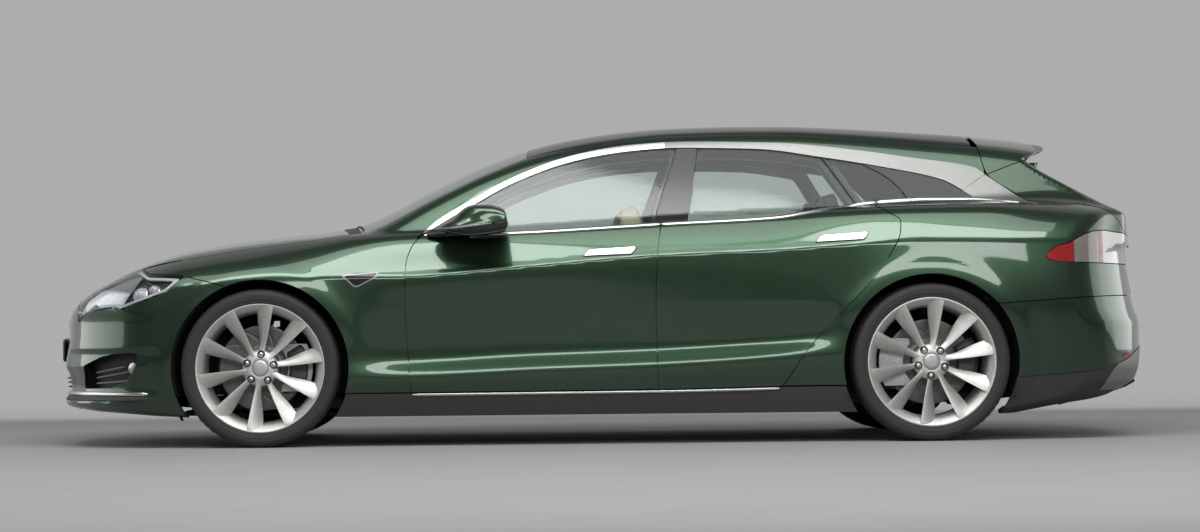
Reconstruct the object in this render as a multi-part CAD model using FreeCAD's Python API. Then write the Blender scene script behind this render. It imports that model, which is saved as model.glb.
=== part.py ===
"""Five-door station wagon with a battery under its floor, as separate panels, glass, seats and running gear.

Row frame: +X points to the tail, +Y to the car's right-hand side, +Z up, in millimetres. The origin is on the
ground, half-way along the car and on its centre line. Left-hand pieces lie at negative Y.
"""
import FreeCAD
import Part
import math
import os

os.makedirs("parts", exist_ok=True)
V = FreeCAD.Vector

# ---------------------------------------------------------------- driving dimensions
FRONT_OVERHANG = 970.0
WHEELBASE = 2960.0
REAR_OVERHANG = 1050.0
B_PILLAR_BACK = 1750.0       # cut between the doors, behind the front axle
WIDTH = 1964.0               # over the wheel arches, without the mirrors
HEIGHT = 1445.0
FRONT_TRACK = 1662.0
REAR_TRACK = 1700.0
TYRE_RADIUS = 350.0
TYRE_WIDTH = 245.0
RIM_RADIUS = 268.0           # edge of the visible metal
UNDERSIDE_Z = 130.0
SILL_Z = 236.0               # lower edge of the painted doors
FLOOR_TOP_Z = 262.0
DOOR_THICKNESS = 110.0       # outer skin to trim, below the glass
DOOR_FLANGE = 25.0           # thickness of the door's overlapping rim
DOOR_STEP = 46.0             # how far the inner door box stands back from the rim
PILLAR_THICKNESS = 52.0      # roof rails and pillars
ROOF_THICKNESS = 38.0
GLASS_THICKNESS = 5.0
PANEL_GAP = 6.0              # between fixed and moving panels
SEAT_GAP = 2.0
ARCH_CLEARANCE = 38.0        # arch lip outside the tyre tread
HINGE_SETBACK = 17.0         # door hinge axis behind the door's leading edge
GLASS_GAP = 11.0             # round the frameless door glass
ARM_HEIGHTS = (205.0, 500.0)  # undersides of the suspension arms
JOINT_GAP = 1.0              # between panels fixed side by side
COWL_HALF = 740.0            # half width of the panel under the windscreen

# ---------------------------------------------------------------- stations along the car
LENGTH = FRONT_OVERHANG + WHEELBASE + REAR_OVERHANG
NOSE_X = -LENGTH / 2
TAIL_X = LENGTH / 2
FRONT_AXLE_X = NOSE_X + FRONT_OVERHANG
REAR_AXLE_X = FRONT_AXLE_X + WHEELBASE
HALF = WIDTH / 2
ARCH_RADIUS = TYRE_RADIUS + ARCH_CLEARANCE
B_PILLAR_X = FRONT_AXLE_X + B_PILLAR_BACK
COWL_X = FRONT_AXLE_X + 350.0
DOOR_FRONT_X = FRONT_AXLE_X + 640.0


def fa(x):
    """Distance behind the front axle."""
    return FRONT_AXLE_X + x


def ra(x):
    """Distance behind the rear axle."""
    return REAR_AXLE_X + x


def bp(x):
    """Distance behind the centre-pillar cut."""
    return B_PILLAR_X + x


# ---------------------------------------------------------------- outline and solid helpers
def place(plane, point):
    a, b = point
    return {"xz": V(a, 0, b), "xy": V(a, b, 0), "yz": V(0, a, b)}[plane]


def wire(plane, first, *steps):
    """A closed outline of lines and arcs: a step is a point, or a pair (point on the arc, end of the arc)."""
    edges = []
    here = place(plane, first)
    for step in steps + (first,):
        if isinstance(step[0], tuple):
            middle, end = place(plane, step[0]), place(plane, step[1])
            edges.append(Part.Arc(here, middle, end).toShape())
        else:
            end = place(plane, step)
            if end.distanceToPoint(here) < 1e-6:
                continue
            edges.append(Part.LineSegment(here, end).toShape())
        here = end
    return Part.Wire(edges)


def slab(plane, low, high, first, *steps):
    """The outline, filled and carried from low to high across its plane."""
    along = {"xz": V(0, 1, 0), "xy": V(0, 0, 1), "yz": V(1, 0, 0)}[plane]
    face = Part.Face(wire(plane, first, *steps))
    face.translate(along * low)
    return face.extrude(along * (high - low))


def box(x0, x1, y0, y1, z0, z1):
    return Part.makeBox(x1 - x0, y1 - y0, z1 - z0, V(x0, y0, z0))


def mirrored(shape):
    return shape.mirror(V(0, 0, 0), V(0, 1, 0))


def both(shape):
    return Part.Compound([shape, mirrored(shape)])


def rod(start, end, radius):
    a, b = V(*start), V(*end)
    return Part.makeCylinder(radius, (b - a).Length, a, b - a)


def grown(plane, distance, first, *steps):
    """The outline moved outwards by a distance (inwards if negative), as a face on its plane."""
    return Part.Face(wire(plane, first, *steps).makeOffset2D(distance))


def thick(face, direction, low, high):
    moved = face.copy()
    moved.translate(direction * low)
    return moved.extrude(direction * (high - low))


def beside(face, inner_y=-400.0):
    """A side-view face carried through the left-hand side of the car, from inner_y outwards."""
    return thick(face, V(0, -1, 0), -inner_y, HALF + 200.0)


def one(shape):
    """The largest solid, where a cut leaves slivers."""
    return max(shape.Solids, key=lambda s: s.Volume)


def export(name, shape):
    solids = shape.Solids
    for s in solids:
        if not s.isValid() or s.Volume <= 0:
            raise ValueError(f"{name} holds an invalid solid")
    (solids[0] if len(solids) == 1 else Part.Compound(solids)).exportStep(f"parts/{name}.step")
    print(f"{name:22s} {len(solids)} solid(s) {shape.Volume / 1e9:.4f} m3")


# ---------------------------------------------------------------- the lower body
# Half sections from nose to tail. Columns: x, then how far each point stands in from the half width:
# underside, sill, side (at its fullest), shoulder, top edge; then heights: shoulder, top edge, middle.
BODY_SECTIONS = [
    (NOSE_X,      222, 182, 132, 152, 282, 560,  640,  660),
    (fa(-580),    162, 102,  77,  92, 222, 640,  775,  825),
    (fa(-330),    122,  57,  17,  32, 162, 680,  850,  898),
    (fa(0),       112,  47,   0,  14, 132, 740,  905,  942),
    (fa(390),     112,  47,  10,  24, 112, 745,  930,  985),
    (fa(660),     112,  47,  14,  27, 102, 745,  935, 1000),
    (bp(20),      112,  44,  14,  30, 110, 830,  971, 1000),
    (ra(-540),    112,  42,  10,  27, 114, 855, 1015, 1040),
    (ra(0),       112,  47,   0,  14, 132, 880, 1070, 1080),
    (ra(460),     122,  67,  22,  42, 182, 880, 1055, 1070),
    (ra(860),     182, 132, 102, 132, 282, 860, 1020, 1040),
    (TAIL_X,      282, 232, 202, 242, 382, 850,  985, 1000),
]
SIDE_BULGE_Z = 560.0


def body_section(row, inset, bottom_z):
    x, bottom, sill, side, shoulder, top, shoulder_z, top_z, middle_z = row
    yb, ys, ym, yh, yt = (HALF - d - inset for d in (bottom, sill, side, shoulder, top))
    section = wire("yz", (-yb, bottom_z), (-ys, SILL_Z), ((-ym, SIDE_BULGE_Z), (-yh, shoulder_z)),
                   (-yt, top_z), ((0, middle_z), (yt, top_z)), (yh, shoulder_z),
                   ((ym, SIDE_BULGE_Z), (ys, SILL_Z)), (yb, bottom_z))
    section.translate(V(x, 0, 0))
    return section


def body_loft(inset=0.0, bottom_z=100.0):
    return Part.makeLoft([body_section(r, inset, bottom_z) for r in BODY_SECTIONS], True, True)


BELT_FRONT = (fa(722), 933.0)
BELT_MID = (bp(26), 972.0)
BELT_REAR = (ra(-212), 1064.0)
BELT_TIP = (ra(224), 1088.0)
BELT_RISE = ((bp(620), 1010.0), BELT_REAR)
BELT_CREST = ((ra(0), 1082.0), BELT_TIP)


def body_profile(inset=0.0):
    """The lower body from the side: bumper, bonnet, belt line, tail deck and tail."""
    i = inset
    return slab(
        "xz", -HALF - 50, HALF + 50,
        (NOSE_X + 190 + i, UNDERSIDE_Z + i),
        (NOSE_X + 40 + i, UNDERSIDE_Z + 40 + i),
        ((NOSE_X + 24 + i, 330), (NOSE_X + 38 + i, 560)),
        (NOSE_X + 88 + i, 662 - i),
        ((fa(-549), 835 - i), (fa(-227), 913 - i)),
        ((fa(70), 950 - i), (COWL_X, 979 - i)),
        (COWL_X + 60, 985 - i),
        (BELT_FRONT[0], BELT_FRONT[1] - i),
        (BELT_MID[0], BELT_MID[1] - i),
        ((BELT_RISE[0][0], BELT_RISE[0][1] - i), (BELT_REAR[0], BELT_REAR[1] - i)),
        ((BELT_CREST[0][0], BELT_CREST[0][1] - i), (BELT_TIP[0], BELT_TIP[1] - i)),
        (TAIL_X - 330 - i, 1062 - i),
        (TAIL_X - 78 - i, 1000 - i),
        (TAIL_X - 62 - i, 790),
        (TAIL_X - 44 - i, 660),
        ((TAIL_X - 22 - i, 570), (TAIL_X - i, 515)),
        (TAIL_X - 4 - i, 345),
        (TAIL_X - 70 - i, 230 + i),
        ((TAIL_X - 300 - i, 150 + i), (TAIL_X - 560, 108 + i)),
        (ra(400), 112 + i),
        (ra(330), UNDERSIDE_Z + i),
    )


def body_plan(inset=0.0):
    """The lower body from above: the nose and the tail are rounded, the sides are left to the sections."""
    i = inset
    w = HALF + 20
    return slab(
        "xy", 0, 1300,
        (NOSE_X + i, 0),
        ((NOSE_X + 52 + i, -420), (NOSE_X + 215 + i, -735 + i)),
        ((NOSE_X + 330 + i, -850 + i), (NOSE_X + 520 + i, -935 + i)),
        (fa(-330), -w),
        (ra(560), -w),
        (TAIL_X - 250 - i, -880 + i),
        ((TAIL_X - 120 - i, -775 + i), (TAIL_X - 60 - i, -610 + i)),
        ((TAIL_X - 16 - i, -330), (TAIL_X - i, 0)),
        ((TAIL_X - 16 - i, 330), (TAIL_X - 60 - i, 610 - i)),
        ((TAIL_X - 120 - i, 775 - i), (TAIL_X - 250 - i, 880 - i)),
        (ra(560), w),
        (fa(-330), w),
        (NOSE_X + 520 + i, 935 - i),
        ((NOSE_X + 330 + i, 850 - i), (NOSE_X + 215 + i, 735 - i)),
        ((NOSE_X + 52 + i, 420), (NOSE_X + i, 0)),
    )


lower = body_loft().common(body_profile()).common(body_plan())
lower = one(lower)

# ---------------------------------------------------------------- the cabin
BELT_Z = 930.0
CABIN_LOW_Z = 700.0          # the cabin loft runs down inside the lower body


DRAWN_RISE = 515.0           # belt to roof as the heights below are drawn


def up(z):
    """A height above the belt, drawn for the usual roof and moved with the roof."""
    return BELT_Z + (z - BELT_Z) * (HEIGHT - BELT_Z) / DRAWN_RISE


# Half sections of the cabin. Columns: x, roof height, the roof edge's drop below it, then how far the roof edge
# and the side at belt height stand in from the half width.
CABIN_SECTIONS = [
    (COWL_X + 40,   985, 40, 167, 122),
    (fa(602),      1079, 74, 207, 124),
    (fa(842),      1204, 72, 244, 122),
    (fa(1083),     1310, 67, 282, 122),
    (bp(-427),     1375, 60, 317, 122),
    (bp(54),       1436, 60, 360, 124),
    (bp(415),      1445, 60, 370, 127),
    (ra(35),       1408, 73, 392, 150),
    (ra(398),      1382, 82, 412, 195),
    (TAIL_X - 423, 1345, 90, 432, 245),
    (TAIL_X - 60,  1290, 95, 470, 390),
]
ROOF_HINGE_X = TAIL_X - 790.0
SPOILER_TIP = (TAIL_X - 423, up(1345))


def cabin_section(row, inset, drop):
    x, roof, cant_drop, cant_in, belt_in = row
    z_roof = up(roof) - drop
    z_cant = max(z_roof - cant_drop, BELT_Z - 20)
    yc, yb = HALF - cant_in - inset, HALF - belt_in - inset
    section = wire("yz", (-yb, CABIN_LOW_Z), (-yb, BELT_Z - 25), (-yc, z_cant), ((0, z_roof), (yc, z_cant)),
                   (yb, BELT_Z - 25), (yb, CABIN_LOW_Z))
    section.translate(V(x, 0, 0))
    return section


def cabin_loft(inset=0.0, drop=0.0):
    return Part.makeLoft([cabin_section(r, inset, drop) for r in CABIN_SECTIONS], True, True)


def cabin_profile(inset=0.0):
    """The cabin from the side: windscreen, roof, spoiler, tailgate glass. The roof line is left to the sections."""
    i = inset
    top = HEIGHT + 60
    return slab(
        "xz", -HALF, HALF,
        (COWL_X + 40 + 2 * i, CABIN_LOW_Z),
        (COWL_X + 40 + 2 * i, top),
        (SPOILER_TIP[0] - i, top),
        (SPOILER_TIP[0] - i, SPOILER_TIP[1] - 18),
        (TAIL_X - 505 - i, up(1262)),
        ((TAIL_X - 330 - 1.2 * i, up(1154)), (TAIL_X - 170 - 1.5 * i, up(1046))),
        (TAIL_X - 78 - i, 1000 - i),
        (TAIL_X - 78 - i, CABIN_LOW_Z),
    )


cabin = one(cabin_loft().common(cabin_profile()))

# ---------------------------------------------------------------- room inside the shell
FIREWALL_X = fa(450)
LOAD_Z = 640.0               # load floor
SKIN = 60.0                  # depth of wings and bumpers
BONNET_THICKNESS = 30.0


def room(inset, floor_z):
    """The hollow of the lower body, open upwards into the cabin."""
    rows = [r[:7] + (r[7] + 80, r[8] + 120) for r in BODY_SECTIONS]
    return Part.makeLoft([body_section(r, inset, floor_z) for r in rows], True, True)


lower_room = room(DOOR_THICKNESS, FLOOR_TOP_Z).common(slab(
    "xz", -HALF, HALF, (FIREWALL_X, FLOOR_TOP_Z), (FIREWALL_X, 985), (BELT_FRONT[0], BELT_FRONT[1] + 2),
    (BELT_MID[0], BELT_MID[1] + 2), ((BELT_RISE[0][0], BELT_RISE[0][1] + 2), (BELT_REAR[0], BELT_REAR[1] + 2)),
    ((BELT_CREST[0][0], BELT_CREST[0][1] + 2), (BELT_TIP[0], BELT_TIP[1] + 2)), (TAIL_X - 330, 1064),
    (TAIL_X - 230, 1035), (TAIL_X - 170, 985), (TAIL_X - 150, LOAD_Z), (ra(-330), LOAD_Z), (ra(-430), FLOOR_TOP_Z)))
upper_room = cabin_loft(PILLAR_THICKNESS, ROOF_THICKNESS).common(cabin_profile(PILLAR_THICKNESS)).common(slab(
    "xz", -HALF, HALF, (COWL_X, 990), BELT_FRONT, BELT_MID, BELT_RISE, BELT_CREST, (TAIL_X - 330, 1062),
    (TAIL_X - 100, 1000), (TAIL_X - 100, HEIGHT + 60), (COWL_X, HEIGHT + 60)))
room_all = lower_room.fuse(upper_room)
outer = lower.fuse(cabin)

# ---------------------------------------------------------------- outlines seen from the side
FRONT_DOOR = (
    (fa(662), SILL_Z), (fa(648), 438), ((fa(638), 700), (fa(667), 875)), (fa(716), 933), (fa(716), 1150),
    (bp(23), 1150), (bp(23), 975), ((bp(-7), 610), (bp(0), SILL_Z)))
REAR_DOOR = (
    (bp(0), SILL_Z), ((bp(-7), 610), (bp(23), 975)), (bp(23), 1150), (ra(-251), 1150), (ra(-251), 1059),
    ((ra(-178), 1014), (ra(-128), 968)), ((ra(-185), 828), (ra(-396), 571)), (ra(-640), SILL_Z + 40),
    (ra(-670), SILL_Z))
FRONT_GLASS = (
    (fa(760), 905), (fa(782), up(975)), (fa(969), up(1079)), ((fa(1198), up(1198)), (fa(1427), up(1271))),
    ((bp(-94), up(1305)), (bp(100), up(1315))), (bp(-8), up(986)), (bp(-8), 905))
APPLIQUE = (
    (bp(0), 905), (bp(0), up(986)), (bp(108), up(1315)), (bp(200), up(1316)), (bp(145), up(987)), (bp(145), 905))
REAR_GLASS = (
    (bp(150), 905), (bp(150), up(987)), (bp(205), up(1317)), ((bp(469), up(1312)), (ra(-447), up(1263))),
    (ra(-312), up(1070)), (ra(-312), 905))
QUARTER_GLASS = (
    (ra(-296), up(1066)), (ra(-432), up(1261)), ((ra(-166), up(1223)), (ra(87), up(1166))), (ra(216), up(1104)),
    (ra(0), up(1094)))
TAILGATE = (
    (ROOF_HINGE_X, up(1600)), (ROOF_HINGE_X, up(1395)), (TAIL_X - 755, up(1200)), (TAIL_X - 578, up(1062)),
    (TAIL_X - 360, up(1064)), ((TAIL_X - 210, 1022), (TAIL_X - 152, 950)), (TAIL_X - 100, 780),
    (TAIL_X - 52, 622), (TAIL_X + 60, 622), (TAIL_X + 60, up(1600)))
HEADLIGHT = (
    (NOSE_X + 150, 620), (NOSE_X + 320, 716), ((NOSE_X + 440, 762), (NOSE_X + 640, 772)), (NOSE_X + 560, 690),
    (NOSE_X + 350, 606), (NOSE_X + 150, 560))
TAILLIGHT = (
    (TAIL_X - 540, 815), ((TAIL_X - 487, 868), (TAIL_X - 410, 920)), (TAIL_X - 250, 925), (TAIL_X - 120, 880),
    (TAIL_X - 90, 780), (TAIL_X - 410, 784))

# ---------------------------------------------------------------- outlines seen from above
BONNET = (
    (NOSE_X + 118, 0), ((NOSE_X + 150, -330), (NOSE_X + 260, -600)), ((fa(-460), -760), (fa(-200), -800)),
    (fa(400), -790), (fa(392), -760), ((fa(345), -400), (COWL_X - 20, 0)), ((fa(345), 400), (fa(392), 760)),
    (fa(400), 790), (fa(-200), 800), ((fa(-460), 760), (NOSE_X + 260, 600)), ((NOSE_X + 150, 330), (NOSE_X + 118, 0)))
SCREEN = (
    (COWL_X + 46, 0), ((fa(372), -430), (fa(446), -770)), (fa(842), -716), (fa(1083), -672), (fa(1182), -645),
    ((fa(1160), 0), (fa(1182), 645)), (fa(1083), 672), (fa(842), 716), (fa(446), 770))
ROOF = (
    (fa(1182), -640), (bp(-427), -640), (bp(54), -598), (bp(415), -588), (ra(35), -566), (ROOF_HINGE_X - 4, -552),
    (ROOF_HINGE_X - 4, 552), (ra(35), 566), (bp(415), 588), (bp(54), 598), (bp(-427), 640), (fa(1182), 640),
    ((fa(1160), 0), (fa(1182), -640)))


def outline_above(points, distance, z0, z1):
    return thick(grown("xy", distance, *points), V(0, 0, 1), z0, z1)


shell = outer.cut(room_all)
inner_skin = body_loft(SKIN, UNDERSIDE_Z + SKIN).common(body_profile(SKIN)).common(body_plan(SKIN))
front_axis = V(FRONT_AXLE_X, 0, TYRE_RADIUS)
rear_axis = V(REAR_AXLE_X, 0, TYRE_RADIUS)


def round_axle(axis, radius, y0, y1):
    """A cylinder about an axle, between two distances from the centre line on the left."""
    return Part.makeCylinder(radius, y0 - y1, axis + V(0, y1, 0), V(0, 1, 0))


WHEELHOUSE_IN = 505.0        # steered wheels' room, from the centre line
REAR_HOUSE_IN = 600.0
BUMPER_CUT_X = fa(-448)
REAR_CUT_X = ra(320)
BUMPER_TOP = ((BUMPER_CUT_X, 0), (BUMPER_CUT_X, 600), (NOSE_X + 350, 604), (NOSE_X + 150, 556), (NOSE_X - 50, 640),
              (NOSE_X - 50, 0))

# ---------------------------------------------------------------- bonnet
lid = lower.cut(lower.translated(V(0, 0, -BONNET_THICKNESS)))
lid = lid.common(box(NOSE_X, COWL_X + 100, -HALF, HALF, 560, 1100))
bonnet = one(lid.common(outline_above(BONNET, -PANEL_GAP / 2, 500, 1100)))
bonnet_space = outline_above(BONNET, PANEL_GAP / 2, 600, 1100)
export("hood", bonnet)

# ---------------------------------------------------------------- headlights, wings and front bumper
nose_skin = lower.cut(inner_skin).cut(bonnet_space)
arch_cut = round_axle(front_axis, ARCH_RADIUS, -WHEELHOUSE_IN, -HALF - 60)
lamp_side = beside(grown("xz", -JOINT_GAP, *HEADLIGHT), -380.0)
lamp_space = beside(grown("xz", 0, *HEADLIGHT), -380.0)
headlight = one(nose_skin.common(lamp_side))
export("headlights", both(headlight))

wing_area = slab("xz", -HALF - 50, -500, (BUMPER_CUT_X + JOINT_GAP, 0), (BUMPER_CUT_X + JOINT_GAP, 602),
                 (NOSE_X + 352, 607), (NOSE_X + 100, 640), (NOSE_X + 100, 1100), (fa(430), 1100), (fa(655), 1000),
                 (fa(655), SILL_Z), (fa(500), 0))
door_space = beside(grown("xz", PANEL_GAP / 2, *FRONT_DOOR))
wing = nose_skin.common(wing_area).cut(arch_cut).cut(lamp_space).cut(door_space)
wing = wing.cut(slab("xz", -HALF - 50, -400, (fa(440), 1100), (fa(440), 955), (fa(590), 940), (fa(720), 920),
                     (fa(720), 1100)))
wing = wing.cut(box(fa(300), fa(720), -HALF + SKIN + 100, 0, 0, 780))
wing = wing.cut(box(fa(380), fa(720), -HALF + SKIN + 37, 0, 0, SILL_Z))
wing = wing.cut(box(fa(280), fa(720), -COWL_HALF - JOINT_GAP, 0, 700, 1200))
wing = one(wing.cut(outline_above(SCREEN, 2.0, 900, HEIGHT)))
export("front_fenders", both(wing))

bumper_area = slab("xz", -HALF - 50, HALF + 50, *BUMPER_TOP)
bumper = nose_skin.common(bumper_area).cut(both(lamp_space)).cut(both(arch_cut))
intake = slab("yz", NOSE_X - 10, NOSE_X + 400, (-420, 250), (-380, 330), (380, 330), (420, 250))
bumper = one(bumper.cut(intake))
PLATE_Z = 360.0
PLATE_HEIGHT = 116.0
PLATE_WIDTH = 524.0
PLATE_SCREW_SPACING = 400.0
PLATE_SCREW_RADIUS = 3.0
PLATE_SCREW_DEPTH = 14.0
TOW_RADIUS = 9.0
TOW_DEPTH = 45.0
TOW_Y = 520.0
TOW_Z = 430.0
carrier = box(NOSE_X, NOSE_X + 70, -PLATE_WIDTH / 2, PLATE_WIDTH / 2, PLATE_Z, PLATE_Z + PLATE_HEIGHT)
bumper = one(bumper.fuse(carrier))
for y in (-PLATE_SCREW_SPACING / 2, PLATE_SCREW_SPACING / 2):
    z = PLATE_Z + PLATE_HEIGHT / 2
    bumper = bumper.cut(rod(V(NOSE_X - 5, y, z), V(NOSE_X + PLATE_SCREW_DEPTH, y, z), PLATE_SCREW_RADIUS))
tow_face = NOSE_X + 90.0
bumper = bumper.fuse(box(tow_face, tow_face + 80, TOW_Y - 40, TOW_Y + 40, TOW_Z - 40, TOW_Z + 40))
bumper = bumper.cut(rod(V(NOSE_X - 50, TOW_Y, TOW_Z), V(tow_face, TOW_Y, TOW_Z), 40.0))
bumper = bumper.cut(rod(V(tow_face - 5, TOW_Y, TOW_Z), V(tow_face + TOW_DEPTH, TOW_Y, TOW_Z), TOW_RADIUS))
export("front_bumper", one(bumper))

# ---------------------------------------------------------------- glass
glass_out, glass_in = 2.0, 2.0 + GLASS_THICKNESS
glazing = cabin_loft(glass_out, glass_out).common(cabin_profile(glass_out)).cut(
    cabin_loft(glass_in, glass_in).common(cabin_profile(glass_in)))
APPLIQUE_THICKNESS = 12.0
dark_layer = cabin_loft(glass_out, glass_out).cut(cabin_loft(glass_out + APPLIQUE_THICKNESS, APPLIQUE_THICKNESS))
SLOT = 1.5                   # glass to the walls of its slot
slot_layer = cabin_loft(glass_out - SLOT, 0).cut(cabin_loft(glass_in + SLOT, 0))
belt_drop = -28.0            # how far the door glass reaches below the belt line
SIDE_Y = -450.0

above_belt = slab("xz", -HALF, HALF, (COWL_X, 990 + belt_drop), (BELT_FRONT[0], BELT_FRONT[1] + belt_drop),
                  (BELT_MID[0], BELT_MID[1] + belt_drop), (BELT_REAR[0], BELT_REAR[1] + belt_drop),
                  (ra(224), 1090), (ra(224), HEIGHT + 60), (COWL_X, HEIGHT + 60))


def pane(points, distance=0.0):
    return beside(grown("xz", distance, *points), SIDE_Y).common(above_belt)


front_pane = one(glazing.common(pane(FRONT_GLASS)))
rear_pane = one(glazing.common(pane(REAR_GLASS)))
quarter_pane = one(glazing.common(pane(QUARTER_GLASS)))
export("front_door_glass_left", front_pane)
export("front_door_glass_right", mirrored(front_pane))
export("rear_door_glass_left", rear_pane)
export("rear_door_glass_right", mirrored(rear_pane))
export("quarter_windows", both(quarter_pane))
windshield = one(glazing.common(outline_above(SCREEN, -4.0, 950, HEIGHT + 50)))
export("windshield", windshield)

# ---------------------------------------------------------------- doors
DOOR_INNER_HALF = 745.0      # the doors' inner faces, from the centre line
rim_layer = lower.cut(body_loft(DOOR_FLANGE, 80))
box_layer = lower.cut(body_loft(DOOR_THICKNESS, 80))
slot_depth = above_belt.translated(V(0, 0, -SLOT))
slot_cut = slot_layer.common(slot_depth).common(Part.Compound(
    [beside(grown("xz", SLOT, *points), SIDE_Y) for points in (FRONT_GLASS, REAR_GLASS)]))


def door(points):
    rim = rim_layer.common(beside(grown("xz", -PANEL_GAP / 2, *points), -DOOR_INNER_HALF))
    inner = box_layer.common(beside(grown("xz", -DOOR_STEP, *points), -DOOR_INNER_HALF))
    return rim.fuse(inner).cut(slot_cut)


front_door = one(door(FRONT_DOOR))
applique = one(dark_layer.common(pane(APPLIQUE)))
rear_door = one(door(REAR_DOOR).fuse(applique))
export("front_door_left", front_door)
export("front_door_right", mirrored(front_door))
export("rear_door_left", rear_door)
export("rear_door_right", mirrored(rear_door))

# ---------------------------------------------------------------- mirrors
MIRROR_Y = -HALF - 20
mirror_shell = slab(
    "xz", MIRROR_Y - 112, MIRROR_Y + 88, (fa(782), 948), ((fa(840), 1000), (fa(916), 1055)),
    ((fa(1010), 1062), (fa(1072), 1043)), (fa(1092), 1012), (fa(1090), 948), ((fa(1000), 924), (fa(900), 921)))
mirror_shell = mirror_shell.common(slab(
    "xy", 900, 1100, (fa(782), MIRROR_Y + 30), ((fa(860), MIRROR_Y - 80), (fa(1000), MIRROR_Y - 112)),
    (fa(1085), MIRROR_Y - 112), (fa(1092), MIRROR_Y + 88), ((fa(950), MIRROR_Y + 88), (fa(800), MIRROR_Y + 60))))
mirror_foot = box(fa(850), fa(930), MIRROR_Y + 60, -HALF + 106, 930, 958)
mirror_foot = mirror_foot.cut(lower)
mirror = one(mirror_shell.fuse(mirror_foot))
export("mirror_left", mirror)
export("mirror_right", mirrored(mirror))


# ---------------------------------------------------------------- body sides
SEAL_GAP = 12.0              # round the inner door box
RECESS = DOOR_FLANGE + 15.0
GLASS_RECESS = 16.0          # depth of the window frames behind the glass

side = lower.cut(lower_room).common(box(fa(450), TAIL_X, -HALF - 60, -430, UNDERSIDE_Z, HEIGHT))
side = side.cut(box(fa(300), TAIL_X, -705, 0, 0, LOAD_Z))
pillar_depth = SKIN + JOINT_GAP
side = side.cut(box(fa(300), fa(655), -HALF - 60, 0, 0, HEIGHT).cut(
    body_loft(pillar_depth, 80).common(body_profile(pillar_depth))))
for points in (FRONT_DOOR, REAR_DOOR):
    side = side.cut(beside(grown("xz", PANEL_GAP / 2, *points), -200).cut(body_loft(RECESS, 80)))
    side = side.cut(beside(grown("xz", SEAL_GAP - DOOR_STEP, *points), -200))
behind_glass = cabin_loft(glass_out + GLASS_RECESS, GLASS_RECESS)
for points in (FRONT_GLASS, APPLIQUE, REAR_GLASS):
    side = side.cut(pane(points, GLASS_GAP - 3).cut(behind_glass))
side = side.cut(box(bp(0), bp(120), -HALF, 155 - HALF - 2 * SEAL_GAP + 44, 936, 992))
side = side.cut(beside(grown("xz", PANEL_GAP / 2, *TAILGATE), -200.0))
side = side.cut(round_axle(rear_axis, ARCH_RADIUS, -REAR_HOUSE_IN, -HALF - 60))
lamp_rear_space = beside(grown("xz", 0, *TAILLIGHT), -560.0).cut(body_loft(SKIN, 80))
side = side.cut(lamp_rear_space)
rear_bumper_area = slab("xz", -HALF - 60, HALF + 60, (ra(318), 0), (ra(318), 604), (TAIL_X - 205, 636),
                        (TAIL_X + 60, 618), (TAIL_X + 60, 0))
side = side.cut(rear_bumper_area)

above_belt_line = slab("xz", -HALF, HALF, (COWL_X + 30, 988), BELT_FRONT, BELT_MID, BELT_RISE, BELT_CREST,
                 (TAIL_X - 330, 1062), (TAIL_X - 78, 1000), (TAIL_X, HEIGHT + 60), (COWL_X, HEIGHT + 60))
frame = cabin.cut(upper_room)
frame = frame.common(above_belt_line).common(box(COWL_X, TAIL_X, -HALF, -400, 880, HEIGHT + 60))
frame = frame.cut(outline_above(ROOF, 2.0, up(1150), HEIGHT + 50))
frame = frame.cut(outline_above(SCREEN, 2.0, 900, HEIGHT + 50))
frame = frame.cut(beside(grown("xz", PANEL_GAP / 2, *TAILGATE), -200.0))
for points in (FRONT_GLASS, APPLIQUE, REAR_GLASS):
    frame = frame.cut(pane(points, GLASS_GAP - 3).cut(behind_glass))
for points in (FRONT_GLASS, REAR_GLASS):
    frame = frame.cut(beside(grown("xz", -12.0, *points), SIDE_Y))
frame = frame.cut(pane(QUARTER_GLASS, 0.5).cut(behind_glass)).cut(beside(grown("xz", -14.0, *QUARTER_GLASS), SIDE_Y))

REAR_HOUSE_WALL = 12.0
house = round_axle(rear_axis, ARCH_RADIUS + REAR_HOUSE_WALL, REAR_HOUSE_WALL - REAR_HOUSE_IN, -HALF + 70).cut(
    round_axle(rear_axis, ARCH_RADIUS, -REAR_HOUSE_IN, -HALF))
house = house.common(box(ra(-500), REAR_CUT_X, -HALF, 0, UNDERSIDE_Z + 30, 800))
for arm_z in ARM_HEIGHTS:
    house = house.cut(box(ra(-40), ra(40), -REAR_HOUSE_IN - 20, -REAR_HOUSE_IN + 40, arm_z - 20, arm_z + 46))
body_side = one(side.fuse(frame).fuse(house))
export("body_side_left", body_side)
export("body_side_right", mirrored(body_side))

# ---------------------------------------------------------------- roof
export("roof_panel", one(cabin.cut(upper_room).common(outline_above(ROOF, 0.0, up(1150), HEIGHT + 50))))

# ---------------------------------------------------------------- tailgate, its window and lamps
REAR_WINDOW = ((-575, up(1062)), (-440, up(1236)), (440, up(1236)), (575, up(1062)))
tailgate_area = thick(grown("xz", -PANEL_GAP / 2, *TAILGATE), V(0, 1, 0), -HALF - 50, HALF + 50)
window_zone = box(TAIL_X - 560, TAIL_X, -HALF, HALF, 900, HEIGHT)
window_prism = thick(grown("yz", 0.0, *REAR_WINDOW), V(1, 0, 0), TAIL_X - 520, TAIL_X)
rear_window = one(glazing.common(window_prism))
export("rear_window", rear_window)
window_bed = thick(grown("yz", JOINT_GAP, *REAR_WINDOW), V(1, 0, 0), TAIL_X - 520, TAIL_X)
window_bed = window_bed.cut(cabin_loft(glass_in, glass_in).common(cabin_profile(glass_in + 0.3)))
window_hole = thick(grown("yz", -22.0, *REAR_WINDOW), V(1, 0, 0), TAIL_X - 640, TAIL_X)
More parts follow.
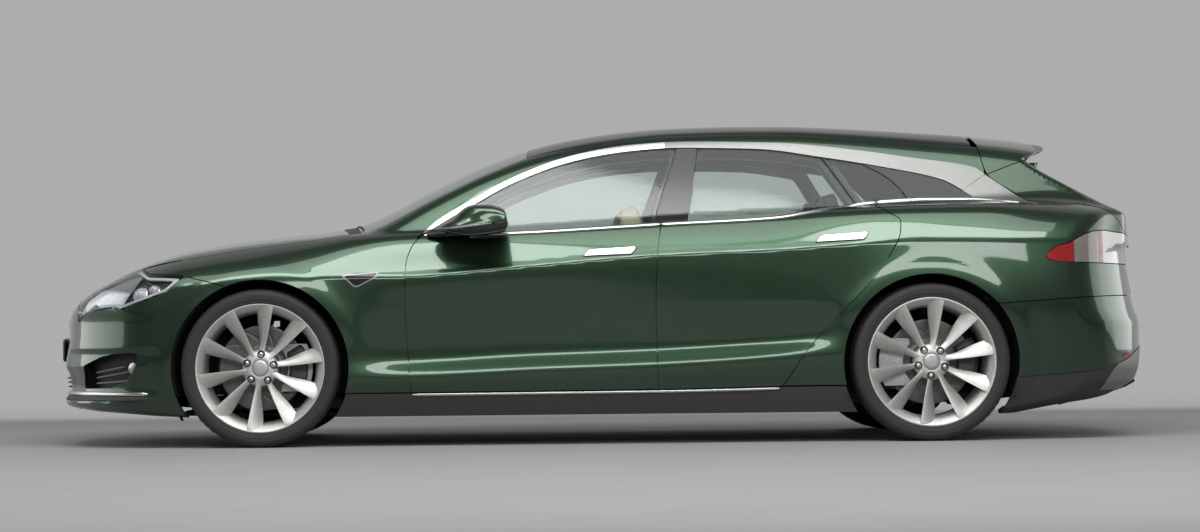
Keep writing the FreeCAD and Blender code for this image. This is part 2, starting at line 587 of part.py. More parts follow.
lamp_area = beside(grown("xz", -JOINT_GAP, *TAILLIGHT), -560.0)
lamp_skin = lower.cut(body_loft(SKIN, 80)).common(lamp_area)
tailgate = outer.common(tailgate_area).cut(room_all)
tailgate = tailgate.cut(window_bed).cut(window_hole)
tailgate = tailgate.cut(both(lamp_rear_space))
LAMP_DEPTH = 30.0
lamp_zone = slab("yz", TAIL_X - 220, TAIL_X + 10, (-860, 800), (-860, 905), (-420, 880), (-330, 840), (-420, 812))
rear_skin = lower.cut(lower.translated(V(-LAMP_DEPTH, 0, 0))).common(tailgate_area)
rear_lamp = one(rear_skin.common(lamp_zone))
lamp_bed = slab("yz", TAIL_X - 220, TAIL_X + 10, (-861, 799), (-861, 906), (-420, 881), (-329, 840), (-420, 811))
lamp_bed = lamp_bed.cut(lower.translated(V(-LAMP_DEPTH - JOINT_GAP, 0, 0)))
tailgate = one(tailgate.cut(both(lamp_bed)))
export("tailgate", tailgate)
export("tailgate_lights", both(rear_lamp))
export("taillights", both(one(lamp_skin.cut(beside(grown("xz", PANEL_GAP / 2, *TAILGATE), -200.0)))))

# ---------------------------------------------------------------- rear bumper
rear_bumper_inner = slab(
    "xz", -HALF - 60, HALF + 60, (REAR_CUT_X, 0), (REAR_CUT_X, 602), (TAIL_X - 203, 632), (TAIL_X - 90, 616),
    (TAIL_X + 60, 616), (TAIL_X + 60, 0))
rear_bumper = lower.cut(inner_skin).common(rear_bumper_inner)
rear_bumper = rear_bumper.cut(both(round_axle(rear_axis, ARCH_RADIUS, -REAR_HOUSE_IN, -HALF - 60)))
export("rear_bumper", one(rear_bumper))

# ---------------------------------------------------------------- floor, bulkheads and cowl
FLOOR_SHEET = 20.0
FLOOR_HALF = 703.0
LOAD_FRONT_X = ra(-330)
LOAD_REAR_X = TAIL_X - 165
floor_pan = slab(
    "xz", -FLOOR_HALF, FLOOR_HALF, (FIREWALL_X, FLOOR_TOP_Z), (FIREWALL_X, FLOOR_TOP_Z - FLOOR_SHEET),
    (ra(-425), FLOOR_TOP_Z - FLOOR_SHEET), (LOAD_FRONT_X + 8, LOAD_Z - FLOOR_SHEET),
    (LOAD_REAR_X, LOAD_Z - FLOOR_SHEET), (LOAD_REAR_X, LOAD_Z), (LOAD_FRONT_X - 8, LOAD_Z), (ra(-440), FLOOR_TOP_Z))
house_room = both(round_axle(rear_axis, ARCH_RADIUS + REAR_HOUSE_WALL + JOINT_GAP,
                             JOINT_GAP + REAR_HOUSE_WALL - REAR_HOUSE_IN, -HALF))
floor_pan = floor_pan.cut(house_room)
floor_pan = one(floor_pan.cut(both(box(REAR_CUT_X - 10, TAIL_X, -HALF, -640, 500, 700))))
export("floor_pan", floor_pan)
WALL_SHEET = 16.0
firewall = box(FIREWALL_X - WALL_SHEET, FIREWALL_X, -FLOOR_HALF, FLOOR_HALF, FLOOR_TOP_Z - FLOOR_SHEET, 930)
firewall = firewall.cut(both(round_axle(front_axis, ARCH_RADIUS + 24, -WHEELHOUSE_IN + 24, -HALF)))
cowl = lower.common(box(COWL_X - 60, FIREWALL_X, -COWL_HALF, COWL_HALF, 925, 1000)).cut(bonnet_space)
cowl = cowl.cut(outline_above(SCREEN, 2.0, 900, HEIGHT))
export("firewall", one(firewall.fuse(cowl)))

# ---------------------------------------------------------------- front luggage tub, motors, battery and frames
TUB_WALL = 8.0
TUB_Y = 400.0
TUB_BOTTOM = 535.0
tub = box(fa(-500), fa(30), -TUB_Y, TUB_Y, TUB_BOTTOM, 800)
tub = tub.cut(box(fa(-500) + TUB_WALL, fa(30) - TUB_WALL, TUB_WALL - TUB_Y, TUB_Y - TUB_WALL,
                  TUB_BOTTOM + TUB_WALL, 801))
export("front_trunk_tub", tub)
MOTOR_Y = 210.0
front_motor = box(fa(-190), fa(170), -MOTOR_Y, MOTOR_Y, 215, 450)
rear_motor = box(ra(-190), ra(190), -MOTOR_Y, MOTOR_Y, 215, 490)
export("drive_units", Part.Compound([front_motor, rear_motor]))
BATTERY_TOP = FLOOR_TOP_Z - FLOOR_SHEET - 2.0
export("battery_pack", box(fa(480), ra(-450), -690, 690, UNDERSIDE_Z, BATTERY_TOP))

BEAM = 45.0
SUBFRAME_Z = 160.0


def subframe(x0, x1, half):
    rails = box(x0, x1, -half, -half + BEAM, SUBFRAME_Z, SUBFRAME_Z + BEAM)
    bars = [box(x, x + BEAM, -half, half, SUBFRAME_Z, SUBFRAME_Z + BEAM) for x in (x0 + 60, x1 - 60 - BEAM)]
    return rails.fuse([mirrored(rails)] + bars)


FRONT_FRAME_Y = 430.0
REAR_FRAME_Y = 500.0
front_frame = subframe(fa(-330), fa(330), FRONT_FRAME_Y)
rear_frame = subframe(ra(-330), ra(300), REAR_FRAME_Y)
export("subframes", Part.Compound([front_frame, rear_frame]))

# ---------------------------------------------------------------- wheels
TYRE_HALF = TYRE_WIDTH / 2
FLANGE_IN = 106.0            # rim flanges, from the wheel's middle plane
FLANGE_OUT = 116.0
BARREL = RIM_RADIUS - 16.0
SPOKES = 10
SPOKE_WIDTH = 46.0
HUB_RADIUS = 80.0
DISC_RADIUS = 190.0
DISC_IN, DISC_OUT = 8.0, 38.0
HAT_RADIUS = 84.0


def turned(points):
    """A ring about the Y axis from an outline in (distance from the middle plane, radius)."""
    face = Part.Face(Part.makePolygon([V(r, y, 0) for y, r in points + points[:1]]))
    return face.revolve(V(0, 0, 0), V(0, 1, 0), 360)


def tyre():
    h, r = TYRE_HALF, TYRE_RADIUS
    b = BARREL + 0.5
    return turned([(-FLANGE_IN + 2, b), (-FLANGE_IN + 2, RIM_RADIUS + 4), (-h + 4, RIM_RADIUS + 10), (-h, r - 50),
                   (-h + 3, r - 22), (-h + 16, r - 5), (-h + 40, r), (h - 40, r), (h - 16, r - 5), (h - 3, r - 22),
                   (h, r - 50), (h - 4, RIM_RADIUS + 10), (FLANGE_IN - 2, RIM_RADIUS + 4), (FLANGE_IN - 2, b)])


def rim():
    """Barrel, ten blades and hub; the outer face is towards negative Y."""
    barrel = turned([(-FLANGE_OUT, BARREL - 14), (-FLANGE_OUT, RIM_RADIUS), (-FLANGE_IN, RIM_RADIUS),
                     (-FLANGE_IN, BARREL), (FLANGE_IN, BARREL), (FLANGE_IN, RIM_RADIUS), (FLANGE_OUT, RIM_RADIUS),
                     (FLANGE_OUT, BARREL - 10), (FLANGE_IN - 10, BARREL - 12), (12 - FLANGE_IN, BARREL - 12)])
    hub = turned([(-96, 0), (-96, HUB_RADIUS - 20), (-84, HUB_RADIUS), (-56, HUB_RADIUS), (-56, 0)])
    blades = []
    for i in range(SPOKES):
        blade = Part.makeBox(SPOKE_WIDTH, 34, BARREL - 60, V(-SPOKE_WIDTH / 2, -98, 50))
        blade.rotate(V(0, 0, 0), V(0, 1, 0), 360.0 * i / SPOKES)
        blades.append(blade)
    return barrel.fuse([hub] + blades)


def brake_disc():
    return turned([(DISC_OUT, 62), (DISC_OUT, DISC_RADIUS), (DISC_IN, DISC_RADIUS), (DISC_IN, HAT_RADIUS),
                   (-55, HAT_RADIUS), (-55, 0), (-45, 0), (-45, HAT_RADIUS - 10), (DISC_IN + 8, HAT_RADIUS - 10),
                   (DISC_IN + 8, 62)])


KNUCKLE_IN, KNUCKLE_OUT = 62.0, 122.0
HUB_CARRIER = 56.0
CALIPER_GAP = 6.0


def knuckle(upper, lower_z, caliper_side):
    """Upright, hub carrier and brake caliper, about the wheel centre."""
    post = box(-34, 34, KNUCKLE_IN, KNUCKLE_OUT, -lower_z, upper)
    carrier = Part.makeCylinder(HUB_CARRIER, KNUCKLE_OUT - 46, V(0, 46, 0), V(0, 1, 0))
    outer_r, inner_r = BARREL - 12 - 14, 120.0
    low, high = DISC_IN - CALIPER_GAP - 28, DISC_OUT + CALIPER_GAP + 34
    ring = Part.makeCylinder(outer_r, high - low, V(0, low, 0), V(0, 1, 0))
    ring = ring.cut(Part.makeCylinder(inner_r, high - low, V(0, low, 0), V(0, 1, 0)))
    x0, x1 = (-260, -90) if caliper_side < 0 else (90, 260)
    caliper = ring.common(box(x0, x1, low, high, -105, 105))
    slot = Part.makeCylinder(DISC_RADIUS + CALIPER_GAP, DISC_OUT - DISC_IN + 2 * CALIPER_GAP,
                             V(0, DISC_IN - CALIPER_GAP, 0), V(0, 1, 0))
    bridge = box(min(0, x0 / 2 - 60), max(0, x1 / 2 + 30), DISC_OUT + CALIPER_GAP + 4, DISC_OUT + CALIPER_GAP + 30,
                 -40, 40)
    bridge = bridge.common(box(-150, 150, 0, 200, -60, 60))
    return one(post.fuse([carrier, caliper.cut(slot), bridge]))


def at_wheel(shape, x, track):
    moved = shape.copy()
    moved.translate(V(x, -track / 2, TYRE_RADIUS))
    return moved


wheel_pieces = {"tyre": tyre(), "rim": rim(), "brake_disc": brake_disc()}
for kind, shape in wheel_pieces.items():
    for place_name, x, track in (("front", FRONT_AXLE_X, FRONT_TRACK), ("rear", REAR_AXLE_X, REAR_TRACK)):
        left = at_wheel(shape, x, track)
        export(f"{kind}_{place_name}_left", left)
        export(f"{kind}_{place_name}_right", mirrored(left))
front_knuckle = at_wheel(knuckle(170, 150, 1), FRONT_AXLE_X, FRONT_TRACK)
export("front_knuckle_left", front_knuckle)
export("front_knuckle_right", mirrored(front_knuckle))
rear_knuckle = at_wheel(knuckle(170, 150, -1), REAR_AXLE_X, REAR_TRACK)
export("rear_knuckles", both(rear_knuckle))

# ---------------------------------------------------------------- suspension arms and struts
ARM = 34.0
STRUT_IN = 215.0             # strut axis inward of the wheel's middle plane
STRUT_RADIUS = 24.0
ARM_END = KNUCKLE_OUT + 26.0


def corner(x, track, frame_y):
    wheel_y = track / 2
    arms = [box(x - ARM / 2, x + ARM / 2, ARM_END - wheel_y, -frame_y + 12, z, z + 26) for z in ARM_HEIGHTS]
    strut = rod(V(x, STRUT_IN - wheel_y, 205), V(x, STRUT_IN - wheel_y, TYRE_RADIUS + 378), STRUT_RADIUS)
    post = box(x - 30, x + 30, -frame_y, -frame_y + BEAM, SUBFRAME_Z, 526)
    return strut.fuse(arms + [post])


arms_front = corner(FRONT_AXLE_X, FRONT_TRACK, FRONT_FRAME_Y).cut(front_frame)
arms_rear = corner(REAR_AXLE_X, REAR_TRACK, REAR_FRAME_Y).cut(rear_frame)
export("suspension", Part.Compound([one(arms_front), mirrored(one(arms_front)), one(arms_rear),
                                    mirrored(one(arms_rear))]))

# ---------------------------------------------------------------- front arch liners and floor of the nose
LINER = 6.0
liner = round_axle(front_axis, ARCH_RADIUS + 2 + LINER, -WHEELHOUSE_IN + LINER, -HALF + 75).cut(
    round_axle(front_axis, ARCH_RADIUS + 2, -WHEELHOUSE_IN, -HALF))
liner = liner.common(box(fa(-450), FIREWALL_X - WALL_SHEET - 2, -HALF, 0, 225, 830))
liner = liner.cut(slab("xz", -HALF, -300, (fa(-60), 450), (fa(-60), 560), (fa(60), 560), (fa(60), 450)))
liner = liner.cut(box(fa(-60), fa(60), -620, -400, 150, 300))
liner = liner.cut(rod(V(FRONT_AXLE_X, STRUT_IN - FRONT_TRACK / 2, 300), V(FRONT_AXLE_X, STRUT_IN - FRONT_TRACK / 2, 900),
                      STRUT_RADIUS + 6))
liner = liner.cut(nose_skin)
export("front_arch_liners", both(one(liner)))
undertray = box(BUMPER_CUT_X + 8, fa(470), -420, 420, UNDERSIDE_Z, UNDERSIDE_Z + 8)
export("front_undertray", one(undertray))

# ---------------------------------------------------------------- seats, dashboard and steering wheel
SEAT_HALF = 250.0
SEAT_Y = 375.0


def seat(x, half, y):
    base = slab("xz", y - half, y + half, (x - 420, FLOOR_TOP_Z + SEAT_GAP), (x - 440, 400), (x - 420, 470),
                (x + 60, 440), (x + 200, 850), (x + 260, 1040), (x + 330, 1030), (x + 250, 520),
                (x + 160, FLOOR_TOP_Z + SEAT_GAP))
    head = slab("xz", y - 120, y + 120, (x + 258, 1075), (x + 285, 1215), (x + 345, 1205), (x + 335, 1060))
    posts = [rod(V(x + 296, y + dy, 1020), V(x + 302, y + dy, 1100), 8) for dy in (-60, 60)]
    return base.fuse([head] + posts)


front_seat = seat(B_PILLAR_X - 180, SEAT_HALF, -SEAT_Y)
export("front_seats", both(front_seat))
bench_x = LOAD_FRONT_X - 290
bench = slab("xz", -640, 640, (bench_x - 400, FLOOR_TOP_Z + SEAT_GAP), (bench_x - 420, 400), (bench_x - 400, 470),
             (bench_x + 60, 450), (bench_x + 200, 1000), (bench_x + 272, 1000), (bench_x + 262, 700),
             (bench_x + 180, FLOOR_TOP_Z + SEAT_GAP))
heads = []
for y in (-430.0, 0.0, 430.0):
    heads.append(slab("xz", y - 120, y + 120, (bench_x + 205, 1010), (bench_x + 215, 1130), (bench_x + 270, 1130),
                      (bench_x + 272, 990)))
export("rear_seat", one(bench.fuse(heads)))
dash = slab("xz", -690, 690, (FIREWALL_X + SEAT_GAP, 640), (FIREWALL_X + SEAT_GAP, 905), (fa(560), 925),
            (fa(760), 905), (fa(850), 860), (fa(860), 780), (fa(700), 640))
export("dashboard", one(dash))
console = slab("xz", -110, 110, (fa(700), FLOOR_TOP_Z + SEAT_GAP), (fa(700), 620), (fa(880), 600), (fa(1000), 540),
               (fa(1560), 540), (fa(1600), 500), (fa(1600), FLOOR_TOP_Z + SEAT_GAP))
export("console", console)
WHEEL_CENTRE = V(fa(960), -SEAT_Y, 880)
WHEEL_TILT = 25.0
WHEEL_RADIUS = 180.0
wheel_axis = V(math.cos(math.radians(WHEEL_TILT)), 0, math.sin(math.radians(WHEEL_TILT)))
ring = Part.makeTorus(WHEEL_RADIUS, 15, WHEEL_CENTRE, wheel_axis)
hub = rod(WHEEL_CENTRE - wheel_axis * 60, WHEEL_CENTRE + wheel_axis * 12, 55)
cross = Part.makeBox(26, 2 * WHEEL_RADIUS, 22, V(-18, -WHEEL_RADIUS, -11))
cross.rotate(V(0, 0, 0), V(0, 1, 0), -WHEEL_TILT)
cross.translate(WHEEL_CENTRE)
export("steering_wheel", one(ring.fuse([hub, cross])))
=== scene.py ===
"""Five-door station wagon: sheet metal, glass, trim, lamps, wheels and cabin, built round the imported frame.

Row frame: +X points to the tail, +Y to the car's right-hand side, +Z up, in metres.
"""

import bmesh
import bpy
import numpy as np
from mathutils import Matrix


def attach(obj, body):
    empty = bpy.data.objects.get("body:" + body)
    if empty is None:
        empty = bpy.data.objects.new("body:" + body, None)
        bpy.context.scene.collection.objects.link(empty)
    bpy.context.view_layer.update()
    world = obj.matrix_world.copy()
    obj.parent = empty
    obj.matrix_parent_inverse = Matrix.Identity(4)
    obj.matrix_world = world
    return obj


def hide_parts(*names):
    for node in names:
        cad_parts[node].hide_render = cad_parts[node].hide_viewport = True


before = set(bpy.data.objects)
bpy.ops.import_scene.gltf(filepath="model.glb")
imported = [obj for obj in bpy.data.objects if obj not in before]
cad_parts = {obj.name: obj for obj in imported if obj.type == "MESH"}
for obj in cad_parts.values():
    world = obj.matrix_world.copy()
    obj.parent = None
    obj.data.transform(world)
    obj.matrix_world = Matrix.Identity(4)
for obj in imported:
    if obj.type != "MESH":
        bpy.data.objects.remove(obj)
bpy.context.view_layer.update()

# ---------------------------------------------------------------------------- body shape
# The painted body is pressed aluminium sheet. One smooth shape carries every panel: the side's lines run
# the length of the car, the bonnet and deck close it on top, and the nose and tail round it off.


def knot_slopes(d):
    """The slope at each knot of a curve from its chords d: the harmonic mean of the chords before and after
    the knot, zero where they disagree, and the end chord's own at either end."""
    same = d[:-1] * d[1:] > 0
    mean = np.where(same, 2 * d[:-1] * d[1:] / np.where(same, d[:-1] + d[1:], 1), 0)
    return np.concatenate([d[:1], mean, d[-1:]])


def hermite(s, h, v0, v1, m0, m1):
    """The Hermite cubic at share s of a span h, between values v0 and v1 with slopes m0 and m1."""
    return (v0 * (1 + 2 * s) * (1 - s) ** 2 + v1 * s * s * (3 - 2 * s)
            + h * (m0 * s * (1 - s) ** 2 - m1 * s * s * (1 - s)))


def along(knots, x):
    """A monotone cubic through (place, value) pairs: the Hermite cubic on each span, level beyond both
    ends."""
    t, v = np.array(knots, float).T
    h = np.diff(t)
    m = knot_slopes(np.diff(v) / h)
    x = np.clip(x, t[0], t[-1])
    i = np.clip(np.searchsorted(t, x) - 1, 0, len(h) - 1)
    return hermite((x - t[i]) / h[i], h[i], v[i], v[i + 1], m[i], m[i + 1])


# lines along the side, bottom to top: height by station, then half width by station
SIDE_LINES = [
    ([(-2.5, .12), (2.5, .1)],
     [(-2.5, .8), (-1.97, .885), (-1.52, .905), (1.05, .908), (1.44, .915), (1.95, .885), (2.2, .83),
      (2.5, .76)]),
    ([(-2.5, .235), (-.86, .226), (.23, .235), (.9, .25), (2.5, .25)],
     [(-2.5, .83), (-1.97, .915), (-1.52, .94), (1.05, .941), (1.44, .948), (1.95, .918), (2.2, .865),
      (2.5, .79)]),
    ([(-2.5, .33), (-1.3, .3), (-.88, .302), (-.33, .324), (.23, .342), (.76, .372), (1.1, .4), (2.5, .4)],
     [(-2.5, .845), (-1.97, .93), (-1.52, .962), (-1.1, .958), (-.3, .957), (.76, .959), (1.05, .96),
      (1.44, .97), (1.95, .94), (2.2, .89), (2.5, .815)]),
    ([(-2.5, .42), (-1.3, .39), (-.88, .392), (-.33, .412), (.23, .428), (.76, .455), (1.1, .48), (2.5, .48)],
     [(-2.5, .85), (-1.97, .934), (-1.52, .969), (-1.2, .957), (-.88, .942), (-.3, .938), (.5, .938),
      (.85, .944), (1.1, .962), (1.44, .978), (1.95, .95), (2.2, .902), (2.5, .825)]),
    ([(-2.5, .52), (-1.5, .62), (2.5, .64)],
     [(-2.5, .85), (-2.2, .902), (-1.97, .936), (-1.75, .96), (-1.52, .974), (-1.25, .966), (-.88, .955),
      (-.3, .951), (.23, .953), (.76, .959), (1.05, .967), (1.25, .976), (1.44, .982), (1.7, .977),
      (1.95, .957), (2.2, .912), (2.5, .83)]),
    ([(-2.5, .6), (-1.97, .69), (-1.52, .73), (-1.2, .735), (-.88, .741), (-.33, .782), (.23, .824),
      (.76, .843), (1.05, .861), (1.44, .875), (2.5, .86)],
     [(-2.5, .83), (-2.2, .886), (-1.97, .923), (-1.75, .946), (-1.52, .96), (-1.2, .962), (-.88, .962),
      (.23, .961), (.76, .964), (1.05, .968), (1.44, .968), (1.7, .962), (1.95, .94), (2.2, .896),
      (2.5, .815)]),
    ([(-2.5, .65), (-1.97, .75), (-1.52, .8), (-1.2, .785), (-.88, .773), (-.33, .812), (.23, .853),
      (.76, .872), (1.05, .893), (1.44, .925), (2.5, .91)],
     [(-2.5, .8), (-2.2, .855), (-1.97, .893), (-1.75, .914), (-1.52, .93), (-1.2, .941), (-.88, .946),
      (.23, .946), (.76, .95), (1.05, .953), (1.44, .95), (1.7, .943), (1.95, .922), (2.2, .878),
      (2.5, .79)]),
    ([(-2.5, .72), (-1.97, .83), (-1.52, .895), (-1.2, .915), (-.88, .925), (-.33, .94), (.23, .971),
      (.76, .997), (1.05, 1.035), (1.25, 1.064), (1.44, 1.076), (1.7, 1.079), (1.95, 1.06), (2.2, 1.05),
      (2.5, 1.0)],
     [(-2.5, .7), (-2.2, .77), (-1.97, .81), (-1.52, .85), (-1.2, .868), (-.88, .876), (.23, .873),
      (.76, .871), (1.05, .868), (1.25, .86), (1.44, .85), (1.7, .83), (1.95, .8), (2.2, .755), (2.5, .65)]),
    ([(-2.5, .95), (-1.2, 1.15), (.2, 1.2), (2.5, 1.25)],
     [(-2.5, .46), (-1.97, .55), (-1.2, .64), (.2, .63), (1.44, .6), (2.5, .35)]),
]
FRONT_AXLE, REAR_AXLE, AXLE_Z = -1.52, 1.44, .35
ARCH_R = .39


def rise(a, width):
    """A smooth step from 0 to 1 where a passes zero: one over one plus e to the minus a over its width."""
    return 1 / (1 + np.exp(np.clip(-a / width, -40, 40)))


def in_bumper_band(z):
    """One between the heights of the front bumper's side recess, zero above and below it."""
    return rise(z - .243, .005) * rise(.43 - z, .005)


def side_y(x, z):
    """Half width of the lower body: at each station a monotone cubic in height through the side's lines,
    plus a smooth swelling round each wheel arch that fades with the distance from its lip."""
    def pick(table, row):
        """The table's value in a row that may differ from point to point."""
        return np.take_along_axis(table, row, 0)[0]

    zk, yk = (np.stack([along(line[k], x) for line in SIDE_LINES]) for k in (0, 1))
    h = np.diff(zk, axis=0)
    m = knot_slopes(np.diff(yk, axis=0) / h)
    i = np.clip((z > zk[1:-1]).sum(axis=0), 0, len(h) - 1)[None]
    span = pick(h, i)
    s = np.clip((z - pick(zk, i)) / span, 0, 1)
    y = hermite(s, span, pick(yk, i), pick(yk, i + 1), pick(m, i), pick(m, i + 1))
    for axle in (FRONT_AXLE, REAR_AXLE):
        r = np.hypot(x - axle, z - AXLE_Z) - ARCH_R
        y = y + .006 * rise(.06 - r, .014) * np.clip((z - .16) / .1, 0, 1)
    return y - .014 * rise(-1.968 - x, .004) * in_bumper_band(z)


def bonnet_z(x, y):
    """Height of bonnet and deck: the centre-line curve less a crown that grows with the square of the
    width."""
    centre = along([(-2.6, .42), (-2.52, .52), (-2.469, .586), (-2.44, .622), (-2.385, .663), (-2.308, .717),
                    (-2.224, .764), (-2.141, .805), (-2.069, .835), (-1.962, .87), (-1.867, .893),
                    (-1.747, .913), (-1.628, .93), (-1.508, .944), (-1.389, .957), (-1.269, .969),
                    (-1.13, .985), (-.8, 1.00), (1.9, 1.075), (2.1, 1.068), (2.32, 1.043), (2.42, 1.01),
                    (2.47, .98), (2.6, .8)], x)
    crown = along([(-2.5, .1), (-2.1, .085), (-1.6, .075), (-1.1, .075), (1.8, .03), (2.5, .07)], x)
    return centre - crown * y * y


def nose_x(y, z):
    """Where the front face stands: its centre-line profile by height, swept back with a power of the
    width."""
    profile = along([(.1, -1.95), (.131, -2.08), (.142, -2.22), (.165, -2.39), (.186, -2.462), (.205, -2.468),
                     (.222, -2.452), (.26, -2.446), (.33, -2.456), (.36, -2.47), (.42, -2.462), (.49, -2.452),
                     (.55, -2.45), (.62, -2.462), (.8, -2.49)], z)
    recess = .016 * in_bumper_band(z) * rise(np.abs(y) - .45, .02)
    return profile + recess + .2 * np.abs(y / .75) ** 3.1


def tail_x(y, z):
    """Where the rear face stands: bumper, tail panel and deck edge by height, drawn in with a power of the
    width."""
    profile = along([(.08, 1.9), (.105, 1.965), (.142, 2.14), (.182, 2.33), (.234, 2.424), (.257, 2.457),
                     (.334, 2.483), (.4, 2.4878), (.5, 2.4883), (.522, 2.4865), (.545, 2.478), (.59, 2.462),
                     (.67, 2.446), (.79, 2.43), (.907, 2.42), (.985, 2.418), (1.02, 2.424), (1.3, 2.44)], z)
    return profile - .155 * np.abs(y / .75) ** 3.3


def smax(a, b, r):
    """The larger of two fields, rounded over a band r: the larger plus (r - their difference) squared over
    4 r."""
    return np.maximum(a, b) + np.maximum(r - np.abs(a - b), 0) ** 2 / (4 * r)


def lower_field(p):
    """Negative inside the lower body: the rounded maximum of side, top, nose and tail, each a signed
    offset."""
    x, y, z = p.T
    top_r = along([(-2.5, .1), (-2.0, .12), (-1.4, .13), (-.9, .05), (1.7, .05), (2.0, .07), (2.5, .06)], x)
    f = smax(np.abs(y) - side_y(x, z), z - bonnet_z(x, y), top_r)
    ends = np.maximum(nose_x(y, z) - x, x - tail_x(y, z))
    return smax(f, ends, np.where(x < 0, .085, .065))


# roof line, side slope and foot of the glasshouse by station
ROOF_LINE = [(-2.6, -.2), (-1.3, .87), (-1.13, .985), (-1.038, 1.022), (-.918, 1.079), (-.798, 1.144),
             (-.678, 1.204), (-.558, 1.259), (-.437, 1.306), (-.317, 1.345), (-.197, 1.375), (-.077, 1.397),
             (.043, 1.414), (.163, 1.427), (.284, 1.436), (.404, 1.441), (.645, 1.445), (.847, 1.444),
             (.993, 1.439), (1.234, 1.426), (1.475, 1.41), (1.693, 1.395), (1.838, 1.382), (1.958, 1.367),
             (2.067, 1.347), (2.3, 1.3)]
GLASS_FOOT = [(-1.3, .8), (-1.13, .85), (-.9, .857), (-.6, .859), (.28, .857), (.65, .853), (1.1, .845),
              (1.475, .826), (1.84, .785), (2.07, .745), (2.3, .7), (2.43, .66)]
GLASS_SLOPE = [(-1.3, .72), (-1.13, .7), (-.92, .62), (-.68, .535), (-.44, .478), (-.2, .475), (.28, .5),
               (.65, .506), (1.475, .56), (1.84, .55), (2.07, .52), (2.43, .45)]


def cabin_field(p):
    """Negative inside the glasshouse: sides leaning in from the glass foot with a slight barrel, the
    crowned roof and screen line on top, and the sloping tailgate with its notch under the spoiler
    behind."""
    x, y, z = p.T
    lean = z - .905
    side = np.abs(y) - along(GLASS_FOOT, x) + along(GLASS_SLOPE, x) * lean - .05 * lean * (.46 - lean)
    half = along([(-1.13, .8), (-.68, .738), (-.2, .665), (.28, .622), (1.475, .59), (2.07, .55)], x)
    drop = along([(-1.13, .075), (-.68, .075), (-.2, .066), (.28, .06), (.65, .06), (1.475, .072),
                  (2.07, .085)], x)
    roof = z - along(ROOF_LINE, x) + drop * np.abs(y / half) ** 2.3
    back = x - along([(.8, 2.425), (1.0, 2.415), (1.043, 2.33), (1.079, 2.268), (1.145, 2.15), (1.21, 2.032),
                      (1.252, 1.972), (1.262, 1.962), (1.272, 1.975), (1.3, 2.035), (1.325, 2.07),
                      (1.36, 2.075), (1.5, 2.075)], z) + .05 * np.abs(y / .6) ** 3
    return np.maximum(smax(smax(side, roof, .055), back, .03), .88 - z)


def body_field(p):
    """The lower body and the glasshouse run into each other with a small fillet, tighter beside the door
    glass."""
    a, b = lower_field(p), cabin_field(p)
    r = along([(-1.2, .012), (1.2, .012), (1.75, .05), (2.1, .09), (2.5, .05)], p[:, 0])
    return np.minimum(a, b) - np.maximum(r - np.abs(a - b), 0) ** 2 / (4 * r)


def cast(origins, directions, reach=1.4, marches=20, halvings=13):
    """The points where rays leave the body: on each ray the last crossing is bracketed by even steps, then
    halved until it is sharp."""
    steps = np.linspace(0, reach, marches)
    low = np.zeros(len(origins))
    for a in steps:
        low = np.where(body_field(origins + directions * a) < 0, a, low)
    high = low + steps[1]
    for _ in range(halvings):
        mid = (low + high) / 2
        inside = body_field(origins + directions * mid[:, None]) < 0
        low, high = np.where(inside, mid, low), np.where(inside, high, mid)
    return origins + directions * low[:, None]


def grid_faces(rows, columns):
    """Two triangles in each cell of a grid, rows by columns, in reading order."""
    i = np.arange((rows - 1) * (columns - 1))
    a = i // (columns - 1) * columns + i % (columns - 1)
    return np.concatenate([np.stack([a, a + 1, a + columns + 1], 1),
                           np.stack([a, a + columns + 1, a + columns], 1)])


def clip(points, faces, distance):
    """Keeps the part of a mesh where the distance is negative. A triangle that crosses zero is cut along a
    straight line between its edges' crossing points, which neighbouring triangles share."""
    d = distance
    inside = d < 0
    count = inside[faces].sum(1)
    out = [faces[count == 3]]
    new_points = [points]
    cut_faces = faces[(count == 1) | (count == 2)]
    if len(cut_faces):
        odd_in = inside[cut_faces].sum(1) == 1
        odd = np.where(odd_in[:, None], inside[cut_faces], ~inside[cut_faces]).argmax(1)
        f = np.take_along_axis(cut_faces, (odd[:, None] + np.arange(3)) % 3, 1)
        edges = np.concatenate([f[:, [0, 1]], f[:, [0, 2]]])
        keys, where = np.unique(np.sort(edges, 1), axis=0, return_inverse=True)
        where = where.reshape(-1)
        a, b = keys.T
        t = (d[a] / (d[a] - d[b]))[:, None]
        new_points.append(points[a] + (points[b] - points[a]) * t)
        p, q = np.split(where + len(points), 2)
        o, u, v = f.T
        out.append(np.stack([o, p, q], 1)[odd_in])
        two = ~odd_in
        out.append(np.stack([p, u, v], 1)[two])
        out.append(np.stack([p, v, q], 1)[two])
    points, faces = np.concatenate(new_points), np.concatenate(out)
    used, faces = np.unique(faces, return_inverse=True)
    return points[used], faces.reshape(-1, 3)


def outline(points, smooth=False):
    """A closed outline as an even run of points; if smooth, through a closed Catmull-Rom curve."""
    p = np.array(points, float)
    if not smooth:
        return p
    t = np.linspace(0, 1, 8, endpoint=False)[:, None]
    out = []
    for i in range(len(p)):
        a, b, c, d = p[i - 1], p[i], p[(i + 1) % len(p)], p[(i + 2) % len(p)]
        out.append(.5 * (2 * b + (c - a) * t + (2 * a - 5 * b + 4 * c - d) * t ** 2
                         + (3 * b - a - 3 * c + d) * t ** 3))
    return np.concatenate(out)


